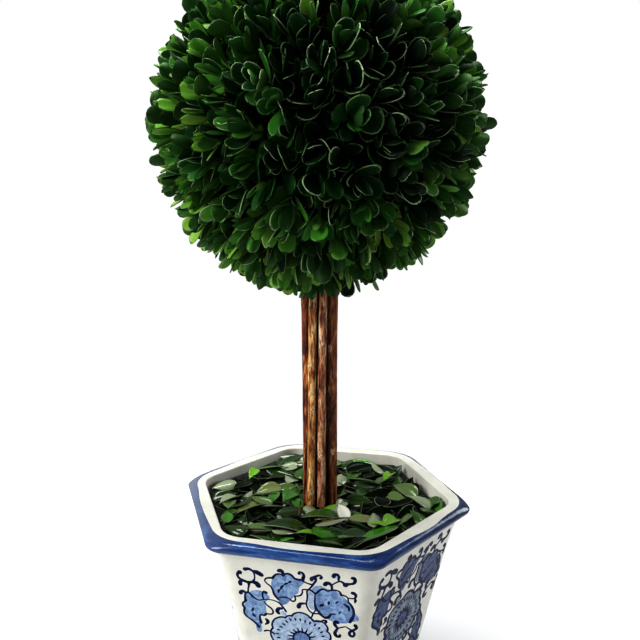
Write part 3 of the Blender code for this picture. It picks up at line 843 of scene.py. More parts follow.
def deep_washes():
    """The strongest blue, where the brush went over the leaves again."""
    return [
        wash((-9.5, 92.4), (-6.0, 93.2), (-2.9, 92.2), (-5.0, 90.2), (-6.8, 88.2), (-8.8, 87.8),
             (-9.6, 90.2)),
        wash((10.4, 97.0), (12.0, 99.4), (13.6, 98.0), (13.2, 94.0), (15.0, 91.6), (15.8, 88.6),
             (17.6, 86.0), (16.4, 84.4), (14.6, 83.8), (12.4, 86.0), (10.5, 88.4), (10.2, 93.0)),
        wash((26.0, 88.0), (28.8, 89.6), (29.9, 86.8), (28.4, 83.0), (26.4, 83.0), (25.4, 85.0)),
        wash((-21.0, 75.0), (-20.5, 72.0), (-20.6, 68.0), (-23.0, 68.0), (-23.4, 72.0)),
    ]


# How wide the painting's lower half is drawn, as a share of its upper half
LOWER_WIDTH = 0.75


def turned(outline):
    """An outline turned half round the lotus and drawn narrower, for the lower half."""
    return [(LOTUS[0] + (LOTUS[0] - x) * LOWER_WIDTH, 2 * LOTUS[1] - z) for x, z in outline]


def fuller(outline, by):
    """An outline grown outwards by an amount, as a fuller brush draws it."""
    count = len(outline)
    pairs = [(outline[i - 1], outline[(i + 1) % count]) for i in range(count)]
    area = sum(x0 * z1 - x1 * z0 for (x0, z0), (x1, z1) in zip(outline, outline[1:] + outline[:1]))
    grown = []
    for (x, z), ((x0, z0), (x1, z1)) in zip(outline, pairs):
        by_length = math.copysign(by, area) / (math.hypot(x1 - x0, z1 - z0) or 1.0)
        grown.append((x + by_length * (z1 - z0), z - by_length * (x1 - x0)))
    return grown


GLAZE, COBALT, LINE, MID, PALE, DEEP, BISQUE, DUSK, MIST = range(9)

# Each blue of the painting: its dark, middle and light tones, how finely it pools, its gloss
BLUES = {
    "line": ((0.002, 0.004, 0.026), (0.003, 0.009, 0.050), (0.012, 0.026, 0.11), 260.0, 0.06),
    "mid": ((0.10, 0.19, 0.38), (0.18, 0.30, 0.50), (0.31, 0.43, 0.60), 360.0),
    "pale": ((0.24, 0.34, 0.50), (0.36, 0.46, 0.60), (0.52, 0.58, 0.66), 330.0),
    "deep": ((0.075, 0.14, 0.30), (0.13, 0.225, 0.41), (0.21, 0.32, 0.51), 360.0),
    # Dusk and mist: greyer, darker washes for the heavier sides, as painted shade
    "dusk": ((0.036, 0.055, 0.140), (0.075, 0.107, 0.215), (0.15, 0.19, 0.32), 360.0, 0.08),
    "mist": ((0.105, 0.14, 0.205), (0.185, 0.235, 0.30), (0.32, 0.365, 0.42), 360.0, 0.15),
}

# The foot's rings: how far in and how high each lies, and the tone of the faces down to it
FOOT_STEPS = (
    (0.35 * FOOT_BEVEL, 0.3 * FOOT_BEVEL, GLAZE), (FOOT_BEVEL, 0.0, BISQUE), (FOOT_RIM, 0.0, BISQUE),
    (FOOT_RIM + 0.0008, FOOT_RECESS * 0.8, BISQUE), (FOOT_RIM + 0.0020, FOOT_RECESS, BISQUE),
)


def painting(growth):
    """All outlines of one side as (tone, outline), the ones on top first."""
    strokes = corner_scroll() + left_leaf() + bud() + crest() + right_leaf() + fork_scroll()
    strokes = lotus() + strokes + [turned(s) for s in strokes]
    layers = [(LINE, fuller(s, growth) if growth else s) for s in strokes]
    layers.append((DEEP, [polar(30 * k, 4.6) for k in range(12)]))
    layers.append((PALE, [p for k in range(len(LOBES)) for p in smooth(lobe(k))[:-1]]))
    for tone, washes in ((DEEP, deep_washes()), (MID, mid_washes()), (PALE, pale_washes())):
        layers += [(tone, s) for s in washes + [turned(s) for s in washes]]
    return [(tone, [(column_of(x, z) * PLANE_HALF, z) for x, z in outline]) for tone, outline in layers]


def winding(x, z, outline):
    """How many times an outline runs round a point."""
    turns = 0
    x0, z0 = outline[-1]
    for x1, z1 in outline:
        if (z0 <= z) != (z1 <= z):
            side = (x1 - x0) * (z - z0) - (x - x0) * (z1 - z0)
            if z1 > z0 and side > 0:
                turns += 1
            elif z1 < z0 and side < 0:
                turns -= 1
        x0, z0 = x1, z1
    return turns


def body_levels():
    """The heights of the body's rows in mm, closer together where it flares."""
    shares = [1 - (1 - k / BODY_ROWS) ** ROW_POWER for k in range(BODY_ROWS + 1)]
    return [between(FOOT_BEVEL, BODY_TOP, share) / MM for share in shares]


def tone_at(x, z, layers):
    """The tone of the uppermost outline round a point, or plain glaze."""
    for x0, x1, z0, z1, tone, outline in layers:
        if x0 < x < x1 and z0 < z < z1 and winding(x, z, outline):
            return tone
    return GLAZE


def panel_lines(columns, levels):
    """The lines that bound one side's surface, follow its rows and round its corners."""
    lines = [[(x, z) for x in columns] for z in (levels[0], levels[-1])]
    lines += [[(x, z) for z in levels] for x in (-PANEL_EDGE, PANEL_EDGE)]
    lines += [[(-PANEL_EDGE, z), (PANEL_EDGE, z)] for z in levels[1:-1]]
    return lines + [[(x, levels[0]), (x, levels[-1])] for x in columns
                    if PLANE_HALF - NEAR < abs(x) < PANEL_EDGE]


def painted_panel(growth):
    """One side's surface cut along its painting: (points in the plane, triangles, tones)."""
    columns = [c * PLANE_HALF for c in side_columns()] + [PANEL_EDGE]
    layers, lines = [], panel_lines(columns, body_levels())
    for tone, outline in painting(growth):
        lines.append(outline + outline[:1])
        across, up = zip(*outline)
        layers.append((min(across), max(across), min(up), max(up), tone, outline))
    points, edges = [], []
    for line in lines:
        edges += [(len(points) + k, len(points) + k + 1) for k in range(len(line) - 1)]
        points += [Vector(p) for p in line]
    made = delaunay_2d_cdt(points, edges, [], 0, CDT_EPSILON)
    flat, faces = [tuple(v) for v in made[0]], [tuple(f) for f in made[2]]
    tones = []
    for face in faces:
        x, z = (sum(flat[i][axis] for i in face) / 3 for axis in (0, 1))
        tones.append(tone_at(x, z, layers))
    return flat, faces, tones


# The sides painted with more colour, how much fuller their lines are in mm, and what each
# wash becomes there: a greyer, darker blue that is painted shade
HEAVY_SIDES = (1, 3, 4)
HEAVY_GROWTH = 0.28
HEAVIER_AND_SHADED = {PALE: MIST, MID: DUSK, DEEP: DUSK}

# How far the hand drifts on the sides after the front one, and over what distance, in mm. The
# drift differs from side to side and fades towards their edges
DRIFT = 1.6
DRIFT_SCALE = 13
SIDES_APART = 9.7
HOLD_POWER = 4


def hand_drift(side, x, z):
    """How far the painter's hand put a point elsewhere on this side than on the front."""
    if side == 0:
        return x, z
    low, high = FOOT_BEVEL / MM, BODY_TOP / MM
    hold = max(0.0, 1 - (x / PANEL_EDGE) ** HOLD_POWER)
    hold *= max(0.0, 1 - (2 * (z - low) / (high - low) - 1) ** HOLD_POWER)
    probe = Vector((x / DRIFT_SCALE, z / DRIFT_SCALE, SIDES_APART * side))
    drift = noise.noise_vector(probe) * DRIFT * hold
    return x + drift.x, z + drift.y


def body_point(side, x, z):
    """The body's surface at a point of the painting's plane, in metres."""
    z = z * MM
    return side_point(side, x / PLANE_HALF, body_width(z), body_corner(z), z)


def body_normal(side, x, z):
    """The body's outward direction at a point of the painting's plane."""
    step = 0.02
    across = body_point(side, x + step, z) - body_point(side, x - step, z)
    up = body_point(side, x, min(z + step, BODY_TOP / MM)) - body_point(side, x, z - step)
    return across.cross(up).normalized()


class PotMesh:
    """The pot's mesh in the making, with the normals of its painted sides."""

    def __init__(self):
        """Starts empty."""
        self.points, self.faces, self.picks = [], [], []
        self.normals, self.known = {}, {}

    def ring(self, ring):
        """Adds points and gives their numbers."""
        self.points.extend(ring)
        return list(range(len(self.points) - len(ring), len(self.points)))

    def join(self, upper, lower, tone):
        """Adds the faces between two rings."""
        self.faces += belt(lower, upper, True)
        self.picks += [tone] * len(upper)

    def fan(self, loop, z, tone, downwards):
        """Closes a ring with triangles to its middle."""
        middle = self.ring([Vector((0.0, 0.0, z))])[0]
        after = loop[1:] + loop[:1]
        pairs = zip(after, loop) if downwards else zip(loop, after)
        self.faces += [(middle, *pair) for pair in pairs]
        self.picks += [tone] * len(loop)

    def add_side(self, side, panel):
        """Adds a painted side, which shares the points of its edges with its neighbours."""
        levels, index = body_levels(), []
        for x, z in panel[0]:
            on_edge = abs(x - PANEL_EDGE) < NEAR
            shared = on_edge or abs(x + PANEL_EDGE) < NEAR
            key = ((side + on_edge) % SIDES, round(-PANEL_EDGE if on_edge else x, 2), round(z, 2))
            number = self.known.get(key) if shared else None
            if number is None:
                spot = hand_drift(side, x, z)
                number = self.ring([body_point(side, *spot)])[0]
                self.normals[number] = body_normal(side, *spot)
            if shared or min(abs(z - levels[0]), abs(z - levels[-1])) < NEAR:
                self.known[key] = number
            index.append(number)
        for face, tone in zip(*panel[1:]):
            self.faces.append(tuple(index[i] for i in face))
            # The heavier sides take the greyer, darker washes as painted shade
            self.picks.append(HEAVIER_AND_SHADED.get(tone, tone) if side in HEAVY_SIDES else tone)

    def border(self, z):
        """The upper or lower border of all painted sides, as point numbers."""
        return [self.known[(side, round(c * PLANE_HALF, 2), round(z, 2))] for side, c in pot_columns()]


def make_pot():
    """The glazed pot: inside, lip, bead, painted body, bevelled foot and recessed underside."""
    rings, blue_from = pot_rings()
    pot = PotMesh()
    loops = [pot.ring(ring) for ring in rings]
    for k, pair in enumerate(zip(loops, loops[1:])):
        pot.join(*pair, COBALT if k >= blue_from else GLAZE)
    pot.fan(loops[0], FLOOR, GLAZE, False)
    panels = painted_panel(0.0), painted_panel(HEAVY_GROWTH)
    for side in range(SIDES):
        pot.add_side(side, panels[side in HEAVY_SIDES])
    levels = body_levels()
    pot.join(loops[-1], pot.border(levels[-1]), GLAZE)
    foot = pot.border(levels[0])
    for inset, z, tone in FOOT_STEPS:
        corner = max(FOOT_CORNER - inset, FOOT_RECESS_CORNER)
        loop = pot.ring(level_ring(FOOT_WIDTH - 2 * inset, corner, z))
        pot.join(foot, loop, tone)
        foot = loop
    pot.fan(foot, FOOT_RECESS, BISQUE, True)
    blues = [painted_look("pot_blue_" + name, *values) for name, values in BLUES.items()]
    mats = [glaze_look(), cobalt_look(), *blues[:4], bisque_look(), *blues[4:]]
    piece = add_piece("pot_glazed_painted", pot.points, pot.faces, mats, pot.picks, "pot_glaze", ["pot"])
    normals = [tuple(pot.normals.get(i, item.vector)) for i, item in enumerate(piece.data.vertex_normals)]
    piece.data.normals_split_custom_set_from_vertices(normals)


# Each stick: across and towards the view at its foot, the same at its tip, its radius, and
# its knots as shares of its height with the degrees that they face, 90 being the view
STICKS = {
    "stick_left": ((-0.0079, -0.0019), (-0.0091, -0.0004), 0.0024, ((0.52, 20), (0.83, 150))),
    "stick_front_left": ((-0.0057, 0.0032), (-0.0039, 0.0030), 0.0023,
                         ((0.085, 75), (0.40, 80), (0.56, 150), (0.80, 60))),
    "stick_front_right": ((0.0008, 0.0034), (0.0023, 0.0031), 0.00245,
                          ((0.30, 120), (0.235, 110), (0.87, 100))),
    "stick_right": ((0.0077, 0.0000), (0.0082, 0.0004), 0.0026, ((0.47, 160), (0.235, 90), (0.62, 150))),
    "stick_back_left": ((-0.0022, -0.0026), (-0.0026, -0.0029), 0.0024, ((0.33, 250),)),
    "stick_back_right": ((0.0031, -0.0034), (0.0036, -0.0034), 0.0025, ((0.64, 290),)),
}
RED_BARK = ((0.030, 0.004, 0.0015), (0.18, 0.036, 0.012), (0.41, 0.118, 0.037), (0.80, 0.42, 0.14))
TAN_BARK = ((0.08, 0.020, 0.006), (0.44, 0.165, 0.046), (0.88, 0.50, 0.18), (1.00, 0.88, 0.50))
GREY_BARK = ((0.07, 0.016, 0.008), (0.38, 0.120, 0.050), (0.72, 0.36, 0.18), (0.98, 0.80, 0.62))
# The right stick's bark is dark partly as painted shade, and the back sticks' bark is all painted shade
DARK_BARK_AND_SHADE = ((0.045, 0.011, 0.004), (0.20, 0.058, 0.017), (0.36, 0.130, 0.042), (0.62, 0.33, 0.13))
BARK_IN_PAINTED_SHADE = ((0.012, 0.004, 0.002), (0.055, 0.020, 0.008), (0.11, 0.045, 0.018), (0.24, 0.12, 0.055))
BARKS = {
    "stick_left": (RED_BARK, 0.66), "stick_front_left": (TAN_BARK, 0.64),
    "stick_front_right": (GREY_BARK, 0.57), "stick_right": (DARK_BARK_AND_SHADE, 0.66),
    "stick_back_left": (BARK_IN_PAINTED_SHADE, 0.66), "stick_back_right": (BARK_IN_PAINTED_SHADE, 0.66),
}

# The noises of ribs, cracks and scales: round the stick, along it, and from stick to stick
BARK_NOISES = ((2.2, 22, 31), (5.5, 60, 17), (4.0, 330, 5))

# How far ribs and scales stand out and cracks go in, as shares of the stick's radius, and
# the least noise that makes a crack
RIB_HEIGHT = 0.055
SCALE_HEIGHT = 0.022
CRACK_DEPTH = 0.06
CRACK_START = 0.15

# A knot's collar and the scar in its middle: places and widths as shares of KNOT_HEIGHT,
# and relief as shares of the radius. COLLAR_ROUND is how much of it runs round the stick
COLLAR_PLACE = 0.9
COLLAR_WIDTH = 0.35
COLLAR_HEIGHT = 0.05
COLLAR_ROUND = 0.4
SCAR_WIDTH = 0.4
SCAR_DEPTH = 0.10
SCAR_POWER = 8


def bark_relief(turn, z, number):
    """How far the bark stands out, as a share of the radius: long ribs, cracks and scales."""
    ring = Vector((math.cos(turn), math.sin(turn), 0.0))
    ribs, cracks, scales = (noise.noise(ring * wide + Vector((0, 0, z * fine + apart * number)))
                            for wide, fine, apart in BARK_NOISES)
    return RIB_HEIGHT * ribs - CRACK_DEPTH * max(0.0, cracks - CRACK_START) + SCALE_HEIGHT * scales


def stick_radius(turn, share, z, height, knots, number):
    """A stick's radius as a share of its own, with its taper, knots and bark."""
    size = between(1.0, STICK_TAPER, share)
    for place, degrees in knots:
        near = (share - place) * height / KNOT_HEIGHT
        faced = max(0.0, math.cos(turn - math.radians(degrees)))
        size += KNOT_SWELL * math.exp(-near * near) * faced ** 2
        collar = math.exp(-((abs(near) - COLLAR_PLACE) / COLLAR_WIDTH) ** 2)
        size += COLLAR_HEIGHT * collar * (COLLAR_ROUND + faced)
        size -= SCAR_DEPTH * math.exp(-(near / SCAR_WIDTH) ** 2) * faced ** SCAR_POWER
    return size + bark_relief(turn, z, number)


def make_stick(number, name):
    """One stick with the relief of its bark, closed by a flat cut at both ends."""
    foot, tip, radius, knots = STICKS[name]
    low = view_point(*foot, FILL_TOP + GAP)
    high = view_point(*tip, SOCKET_TOP - GAP)
    height = high.z - low.z
    way = view_way(math.radians(knots[0][1]))

    def middle(share):
        """The stick's middle line, bowed towards its first knot and wobbling a little."""
        probe = Vector((share * WOBBLE_WAVES, STICKS_APART * number, 0.5))
        wobble = noise.noise_vector(probe) * STICK_WOBBLE
        bend = way * STICK_BOW + Vector((wobble.x, wobble.y, 0.0))
        return low.lerp(high, share) + bend * math.sin(math.pi * share)

    points = []
    for step in range(STICK_RINGS + 1):
        share = step / STICK_RINGS
        centre = middle(share)
        for turn in round_turns(STICK_SIDES):
            size = stick_radius(turn, share, centre.z, height, knots, number)
            points.append(centre + view_way(turn) * radius * size)
    faces = tube(STICK_RINGS + 1, STICK_SIDES)
    foot_end, last = len(points), STICK_RINGS * STICK_SIDES
    for side in range(STICK_SIDES):
        after = (side + 1) % STICK_SIDES
        faces += [(foot_end, side, after), (foot_end + 1, last + after, last + side)]
    tones, patches = BARKS[name]
    spots = [middle(share) + view_way(math.radians(degrees)) * radius for share, degrees in knots]
    mat = bark_look(name + "_bark", *tones, patches, spots)
    add_piece(name + "_bark", points + [low, high], faces, [mat], None, "stick_bark", [name])


# A leaf of length 1: stations along it and half widths there, as shares of its width
LEAF_STATIONS = (0.0, 0.08, 0.22, 0.40, 0.58, 0.75, 0.88, 0.96, 1.0)
OBOVATE = (0.035, 0.07, 0.23, 0.39, 0.48, 0.50, 0.43, 0.27, 0.06)
LANCE = (0.03, 0.08, 0.27, 0.44, 0.50, 0.44, 0.29, 0.14, 0.02)
LEAF_COLUMNS = (-1.0, -0.91, -0.5, 0.0, 0.5, 0.91, 1.0)
LEAF_SKIN = 0.018
LEAF_DOME = 0.035
DOME_EDGE = 0.95
EDGE_ROLL = 0.012
NOTCH_POWER = 9
UNDER_DEPTHS = ((0, 0.6), (3, 1.25), (-1, 0.6))
TOP, UNDER, MARGIN = range(3)

# The plain strip that stands for a leaf when room for it is sought
PROXY_STATIONS = (0.14, 0.42, 0.72, 0.985)
PROXY_COLUMNS = (-0.9, 0.0, 0.9)
PROXY_FACES = [(a, a + 1, a + 4, a + 3) for a in (0, 1, 3, 4, 6, 7)]


def leaf_height(along, across, fold, bend, twist):
    """How far a leaf's upper side stands above its plane."""
    return fold * abs(across) + bend * along * along + twist * across * along


def leaf_faces():
    """A leaf's faces and their kinds: its top with a margin, its underside and its rim."""
    wide, rows = len(LEAF_COLUMNS), len(LEAF_STATIONS)
    below = wide * rows
    faces, kinds = [], []
    for r in range(rows - 1):
        left, low_left = r * wide, below + r * 3
        right, low_right = left + wide - 1, low_left + 2
        for c in range(wide - 1):
            a = left + c
            faces.append((a + 1, a + wide + 1, a + wide, a))
            kinds.append(MARGIN if c in (0, wide - 2) or r == rows - 2 else TOP)
        faces += [(a, a + 3, a + 4, a + 1) for a in (low_left, low_left + 1)]
        faces.append((left, left + wide, low_left + 3, low_left))
        faces.append((right + wide, right, low_right, low_right + 3))
        kinds += [UNDER, UNDER, MARGIN, MARGIN]
    for r, turn in ((0, 1), (rows - 1, -1)):
        top = [r * wide + c for c in range(wide)]
        bottom = [below + r * 3 + c for c in range(3)]
        faces.append(tuple((top + bottom[::-1])[::turn]))
    return faces, np.array(kinds + [MARGIN, MARGIN])


def leaf_form(width, outline, fold, bend, twist, notch):
    """A leaf's mesh and its proxy: (points, faces, kinds, proxy points, proxy faces)."""
    points, unders = [], []
    for station, half in zip(LEAF_STATIONS, outline):
        row = []
        for column in LEAF_COLUMNS:
            y = column * half * width
            x = station - notch * (1 - abs(column)) * station ** NOTCH_POWER
            z = leaf_height(station, y, fold, bend, twist)
            dome = LEAF_DOME * half * math.sin(math.pi * min(abs(column), DOME_EDGE))
            z += dome - EDGE_ROLL * (abs(column) == 1)
            row.append((x, y, z))
        points += row
        unders += [(row[k][0], row[k][1], row[k][2] - LEAF_SKIN * deep) for k, deep in UNDER_DEPTHS]
    proxy = []
    for station in PROXY_STATIONS:
        half = float(np.interp(station, LEAF_STATIONS, outline))
        for column in PROXY_COLUMNS:
            y = column * half * width
            proxy.append((station, y, leaf_height(station, y, fold, bend, twist)))
    return np.array(points + unders), *leaf_faces(), np.array(proxy), PROXY_FACES


def leaf_forms(rng, count, outline, width, bend):
    """Several forms of one kind of leaf."""
    return [leaf_form(rng.uniform(*width), outline, rng.uniform(0.10, 0.42), rng.uniform(*bend),
                      rng.uniform(-0.25, 0.25), rng.uniform(0.0, 0.05)) for _ in range(count)]


class LeafPile:
    """Leaves that never cross each other, gathered by piece."""

    CELL = 0.024

    def __init__(self, allowed, barriers=()):
        """Starts empty, with a test for points that are allowed and trees not to cross."""
        self.allowed, self.barriers = allowed, barriers
        self.grid, self.leaves = {}, []

    def cells(self, lo, hi):
        """The cells of the grid that a box touches."""
        low, high = np.floor(lo / self.CELL).astype(int), np.floor(hi / self.CELL).astype(int)
        i, j, k = (range(a, b + 1) for a, b in zip(low, high))
        return [(x, y, z) for x in i for y in j for z in k]

    def fits(self, form, place, length):
        """The leaf's proxy there, or None if it crosses another or leaves its space."""
        turn = np.array(place.to_3x3()) * length
        proxy = form[3] @ turn.T + np.array(place.translation)
        if not self.allowed(proxy):
            return None
        lo, hi = proxy.min(axis=0), proxy.max(axis=0)
        tree = BVHTree.FromPolygons(proxy.tolist(), form[4])
        if any(tree.overlap(barrier) for barrier in self.barriers):
            return None
        cells = self.cells(lo, hi)
        for other in {number for cell in cells for number in self.grid.get(cell, ())}:
            its_lo, its_hi, its_tree = self.leaves[other][:3]
            apart = (lo > its_hi).any() or (hi < its_lo).any()
            if not apart and tree.overlap(its_tree):
                return None
        return lo, hi, tree, cells, turn

    def add(self, form, place, length, tones):
        """Adds a leaf if it fits. Its tones are material numbers for top, under and margin."""
        found = self.fits(form, place, length)
        if found is None:
            return False
        lo, hi, tree, cells, turn = found
        for cell in cells:
            self.grid.setdefault(cell, []).append(len(self.leaves))
        points = form[0] @ turn.T + np.array(place.translation)
        self.leaves.append((lo, hi, tree, (points.tolist(), form[1]), np.array(tones)[form[2]].tolist()))
        return True

    def pieces(self, name, mats, slot, nodes, count):
        """Joins the leaves into a number of pieces, in the order that they were added."""
        stops = [round(len(self.leaves) * k / count) for k in range(count + 1)]
        for k in range(count):
            leaves = self.leaves[stops[k]:stops[k + 1]]
            picks = [pick for leaf in leaves for pick in leaf[4]]
            points, faces = joined(leaf[3] for leaf in leaves)
            add_piece(f"{name}_{k + 1}", points, faces, mats, picks, slot, nodes)


# The ball's sprigs of outer shoots, and the shorter ones that fill between them, whose darkest
# leaves are painted shade
SPRIGS = 430
SPRIG_ROOT = 0.0560
SPRIG_LEAN = math.radians(14)
SPRIG_SHIFT = math.radians(3.4)
SHOOT_REACH = (0.0735, 0.0790)
INNER_SPRIGS = 260
INNER_REACH = (0.0630, 0.0690)
INNER_SHIFT = 0.12
INNER_PAIRS = slice(1, 4)
INNER_SHARE = 0.95
STEM_PROBES = (0.3, 0.6, 1.0)
CORE_RADIUS = 0.0580
CORE_RELIEF = 0.0016
CORE_LUMPS = 9
CORE_FRACTAL = (0.9, 2.0, 3)
CORE_CLEAR = 0.001

# Pairs of leaves down a shoot: distance below its tip, spread in degrees, length
PAIRS = (
    (0.0000, (4, 16), (0.0150, 0.0190)),
    (0.0030, (10, 27), (0.0150, 0.0190)),
    (0.0064, (18, 38), (0.0150, 0.0195)),
    (0.0105, (27, 50), (0.0150, 0.0200)),
    (0.0150, (38, 66), (0.0150, 0.0200)),
)
LEAF_TWIST = math.radians(34)
LEAF_TRIES = 5
SHORTEST_LEAF = 0.0095
TIP_REACH = (0.935, 1.0)
LEAF_ROOT = 0.0005
LEAF_SHORTENING = 1.1
TWIG_WIDTHS = (0.0018, 0.0009)
TWIG_BEND = 0.0006
LEAF_TRIANGLES = 180
PIECE_TRIANGLES = 190000

TOP_TONES = (
    (0.004, 0.017, 0.005), (0.008, 0.040, 0.0085), (0.0175, 0.090, 0.014), (0.038, 0.175, 0.021),
    (0.072, 0.270, 0.031), (0.115, 0.330, 0.038), (0.175, 0.390, 0.050), (0.270, 0.490, 0.070),
)
UNDER_TONES = (
    (0.0055, 0.022, 0.005), (0.021, 0.080, 0.012), (0.044, 0.145, 0.021), (0.095, 0.240, 0.034),
)
DARK_UNDER = 0
UNDER_CHANCES = (5, 4, 2)
# The two pale margin tones are the leaves' own pale edges, lightened further as painted highlight
MARGIN_TONES = ((0.150, 0.270, 0.095), (0.310, 0.410, 0.240), (0.020, 0.085, 0.011))
MARGIN_CHANCES = (3, 3, 7)
STEP_CHANCES = (2, 4, 2)
LEAF_GLOSS = 0.22

# The middle tone of the outer sprays and how far it varies. The rest is painted light and shade
# by place, as in the photograph: how much lighter it gets towards the left and downwards, how much
# darker where the ball faces the view, and how much darker its top and back, which face the most light
MIDDLE_TONE = 5.7
TONE_SPREAD = 1.9
PAINTED_LIGHT_LEFT = 0.8
PAINTED_LIGHT_DOWN = 0.2
PAINTED_SHADE_FACING = 7.6
PAINTED_SHADE_WAY = (ACROSS * 0.12 + TOWARDS * 0.99).normalized()
PAINTED_SHADE_TOP_BACK = 1.8
TOP_BACK_WAY = (Vector((0.0, 0.0, 1.0)) - TOWARDS).normalized()


def leaf_mats():
    """The leaf tones, in the order of the numbers that tone_numbers gives."""
    kinds = (("boxwood_top", TOP_TONES, 0.30), ("boxwood_under", UNDER_TONES, 0.55),
             ("boxwood_margin", MARGIN_TONES, 0.45))
    return [mat for kind in kinds for mat in leaf_looks(*kind, LEAF_GLOSS)]


def tone_numbers(rng, heading, deep):
    """A spray's own tones of top and underside, with painted light and shade by its place on the ball."""
    # Painted light and shade: lighter to the left and low down, darker facing the view and on top and back
    place = PAINTED_LIGHT_LEFT * -heading.dot(ACROSS) - PAINTED_LIGHT_DOWN * heading.z
    place -= PAINTED_SHADE_FACING * max(0.0, heading.dot(PAINTED_SHADE_WAY)) ** 4
    place -= PAINTED_SHADE_TOP_BACK * max(0.0, heading.dot(TOP_BACK_WAY))
    wanted = rng.gauss(MIDDLE_TONE, TONE_SPREAD) + place
    # The inner sprays' darkest top is painted shade, and dark tops get a dark underside to match
    top = 0 if deep else min(max(round(wanted), 0), len(TOP_TONES) - 1)
    light_under = rng.choices(range(1, len(UNDER_TONES)), UNDER_CHANCES)[0]
    return top, len(TOP_TONES) + (light_under if top > 1 else DARK_UNDER)


def shifted_tone(tones, rng):
    """A leaf's tones: its spray's or the next lighter or darker top, and a margin of its own."""
    step = rng.choices((-1, 0, 1), STEP_CHANCES)[0]
    margin = rng.choices(range(len(MARGIN_TONES)), MARGIN_CHANCES)[0]
    top = min(max(tones[0] + step, 0), len(TOP_TONES) - 1)
    return top, tones[1], len(TOP_TONES) + len(UNDER_TONES) + margin


def outside_stem(points):
    """Whether all points lie outside the space of the sticks, or above their tips."""
    x = (points - np.array(CENTRE)) @ np.array(ACROSS)
    y = (points - np.array(CENTRE)) @ np.array(TOWARDS)
    outside = (x / STEM_REACH[0]) ** 2 + (y / STEM_REACH[1]) ** 2 > 1
    return bool((outside | (points[:, 2] > SOCKET_TOP)).all())


def ball_reach(heading):
    """How far leaf tips reach in a direction: a little further low on the left."""
    return BALL_RADIUS + BALL_BULGE * max(0.0, heading.dot(BULGE_WAY)) ** 3


def in_ball(points):
    """Whether a leaf stays within the ball's reach and clear of the sticks and the core."""
    away = np.linalg.norm(points - np.array(CENTRE), axis=1)
    tip = Vector(points[away.argmax()]) - CENTRE
    if tip.length >= ball_reach(tip.normalized()) or away.min() <= CORE_RADIUS + CORE_CLEAR:
        return False
    return outside_stem(points)


def twig(root, tip, wide, narrow, sides=5):
    """A thin tapering twig as (points, faces), bent a little in its middle."""
    way = (tip - root).normalized()
    across = way.orthogonal().normalized()
    over = way.cross(across)
    points = []
    for share, bend, width in ((0.0, 0.0, wide), (0.5, TWIG_BEND, between(wide, narrow, 0.4)),
                               (1.0, 0.0, narrow)):
        centre = root.lerp(tip, share) + across * bend
        points += [centre + (across * math.cos(turn) + over * math.sin(turn)) * width / 2
                   for turn in round_turns(sides)]
    ends = [tuple(range(sides))[::-1], tuple(range(2 * sides, 3 * sides))]
    return points, tube(3, sides, True) + ends


def grow_shoot(pile, twigs, forms, start, tip, rng, pairs, reach_share, deep):
    """One twig with pairs of leaves down from its tip, each pair turned from the last."""
    way = (tip - start).normalized()
    first_side = tilted(way, math.pi / 2, rng.uniform(0, 2 * math.pi))
    spray = tone_numbers(rng, (tip - CENTRE).normalized(), deep)
    before = len(pile.leaves)
    for number, (down, spread, lengths) in enumerate(pairs):
        place = tip - way * down
        for half in range(2):
            side = first_side.copy()
            side.rotate(Matrix.Rotation((number / 2 + half) * math.pi + rng.uniform(-0.3, 0.3), 3, way))
            root = place + side * LEAF_ROOT
            for _ in range(LEAF_TRIES):
                angle = math.radians(rng.uniform(*spread))
                leaf_way = way * math.cos(angle) + side * math.sin(angle)
                length = rng.uniform(*lengths)
                reach = ball_reach(way) * rng.uniform(*TIP_REACH) * reach_share
                past = max(0.0, (root + leaf_way * length - CENTRE).length - reach)
                length -= LEAF_SHORTENING * past
                facing = way * math.sin(angle) - side * math.cos(angle)
                facing.rotate(Matrix.Rotation(rng.uniform(-LEAF_TWIST, LEAF_TWIST), 3, leaf_way))
                if length < SHORTEST_LEAF:
                    continue
                tones = shifted_tone(spray, rng)
                if pile.add(rng.choice(forms), frame_along(root, leaf_way, facing), length, tones):
                    break
    if len(pile.leaves) > before:
        twigs.append(twig(start, tip, *TWIG_WIDTHS))


def grow_sprigs(pile, twigs, forms, rng, count, shift, reaches, pairs, reach_share, deep):
    """Shoots spread over the ball, apart from those that would stand in the stem's space."""
    for heading in sphere_directions(count):
        heading = tilted(heading, rng.uniform(0, shift), rng.uniform(0, 2 * math.pi))
        root = CENTRE + heading * SPRIG_ROOT
        way = tilted(heading, rng.uniform(0, SPRIG_LEAN), rng.uniform(0, 2 * math.pi))
        reach = rng.uniform(*reaches)
        if not deep:
            reach = reach * ball_reach(way) / BALL_RADIUS
        reach -= SPRIG_ROOT
        if outside_stem(np.array([root + way * reach * s for s in STEM_PROBES])):
            grow_shoot(pile, twigs, forms, root, root + way * reach, rng, pairs, reach_share, deep)


def make_core():
    """The core of the ball, lumpy with moss, and near black as painted shade."""
    bm = bmesh.new()
    bmesh.ops.create_icosphere(bm, subdivisions=5, radius=1.0)
    points = []
    for vert in bm.verts:
        way = vert.co.normalized()
        lift = noise.fractal(way * CORE_LUMPS, *CORE_FRACTAL) * CORE_RELIEF
        points.append(CENTRE + way * (CORE_RADIUS + lift))
    faces = [tuple(v.index for v in face.verts) for face in bm.faces]
    bm.free()
    add_piece("boxwood_core", points, faces, [core_moss_and_shade_look()], None, "boxwood_leaves", ["boxwood_ball"])


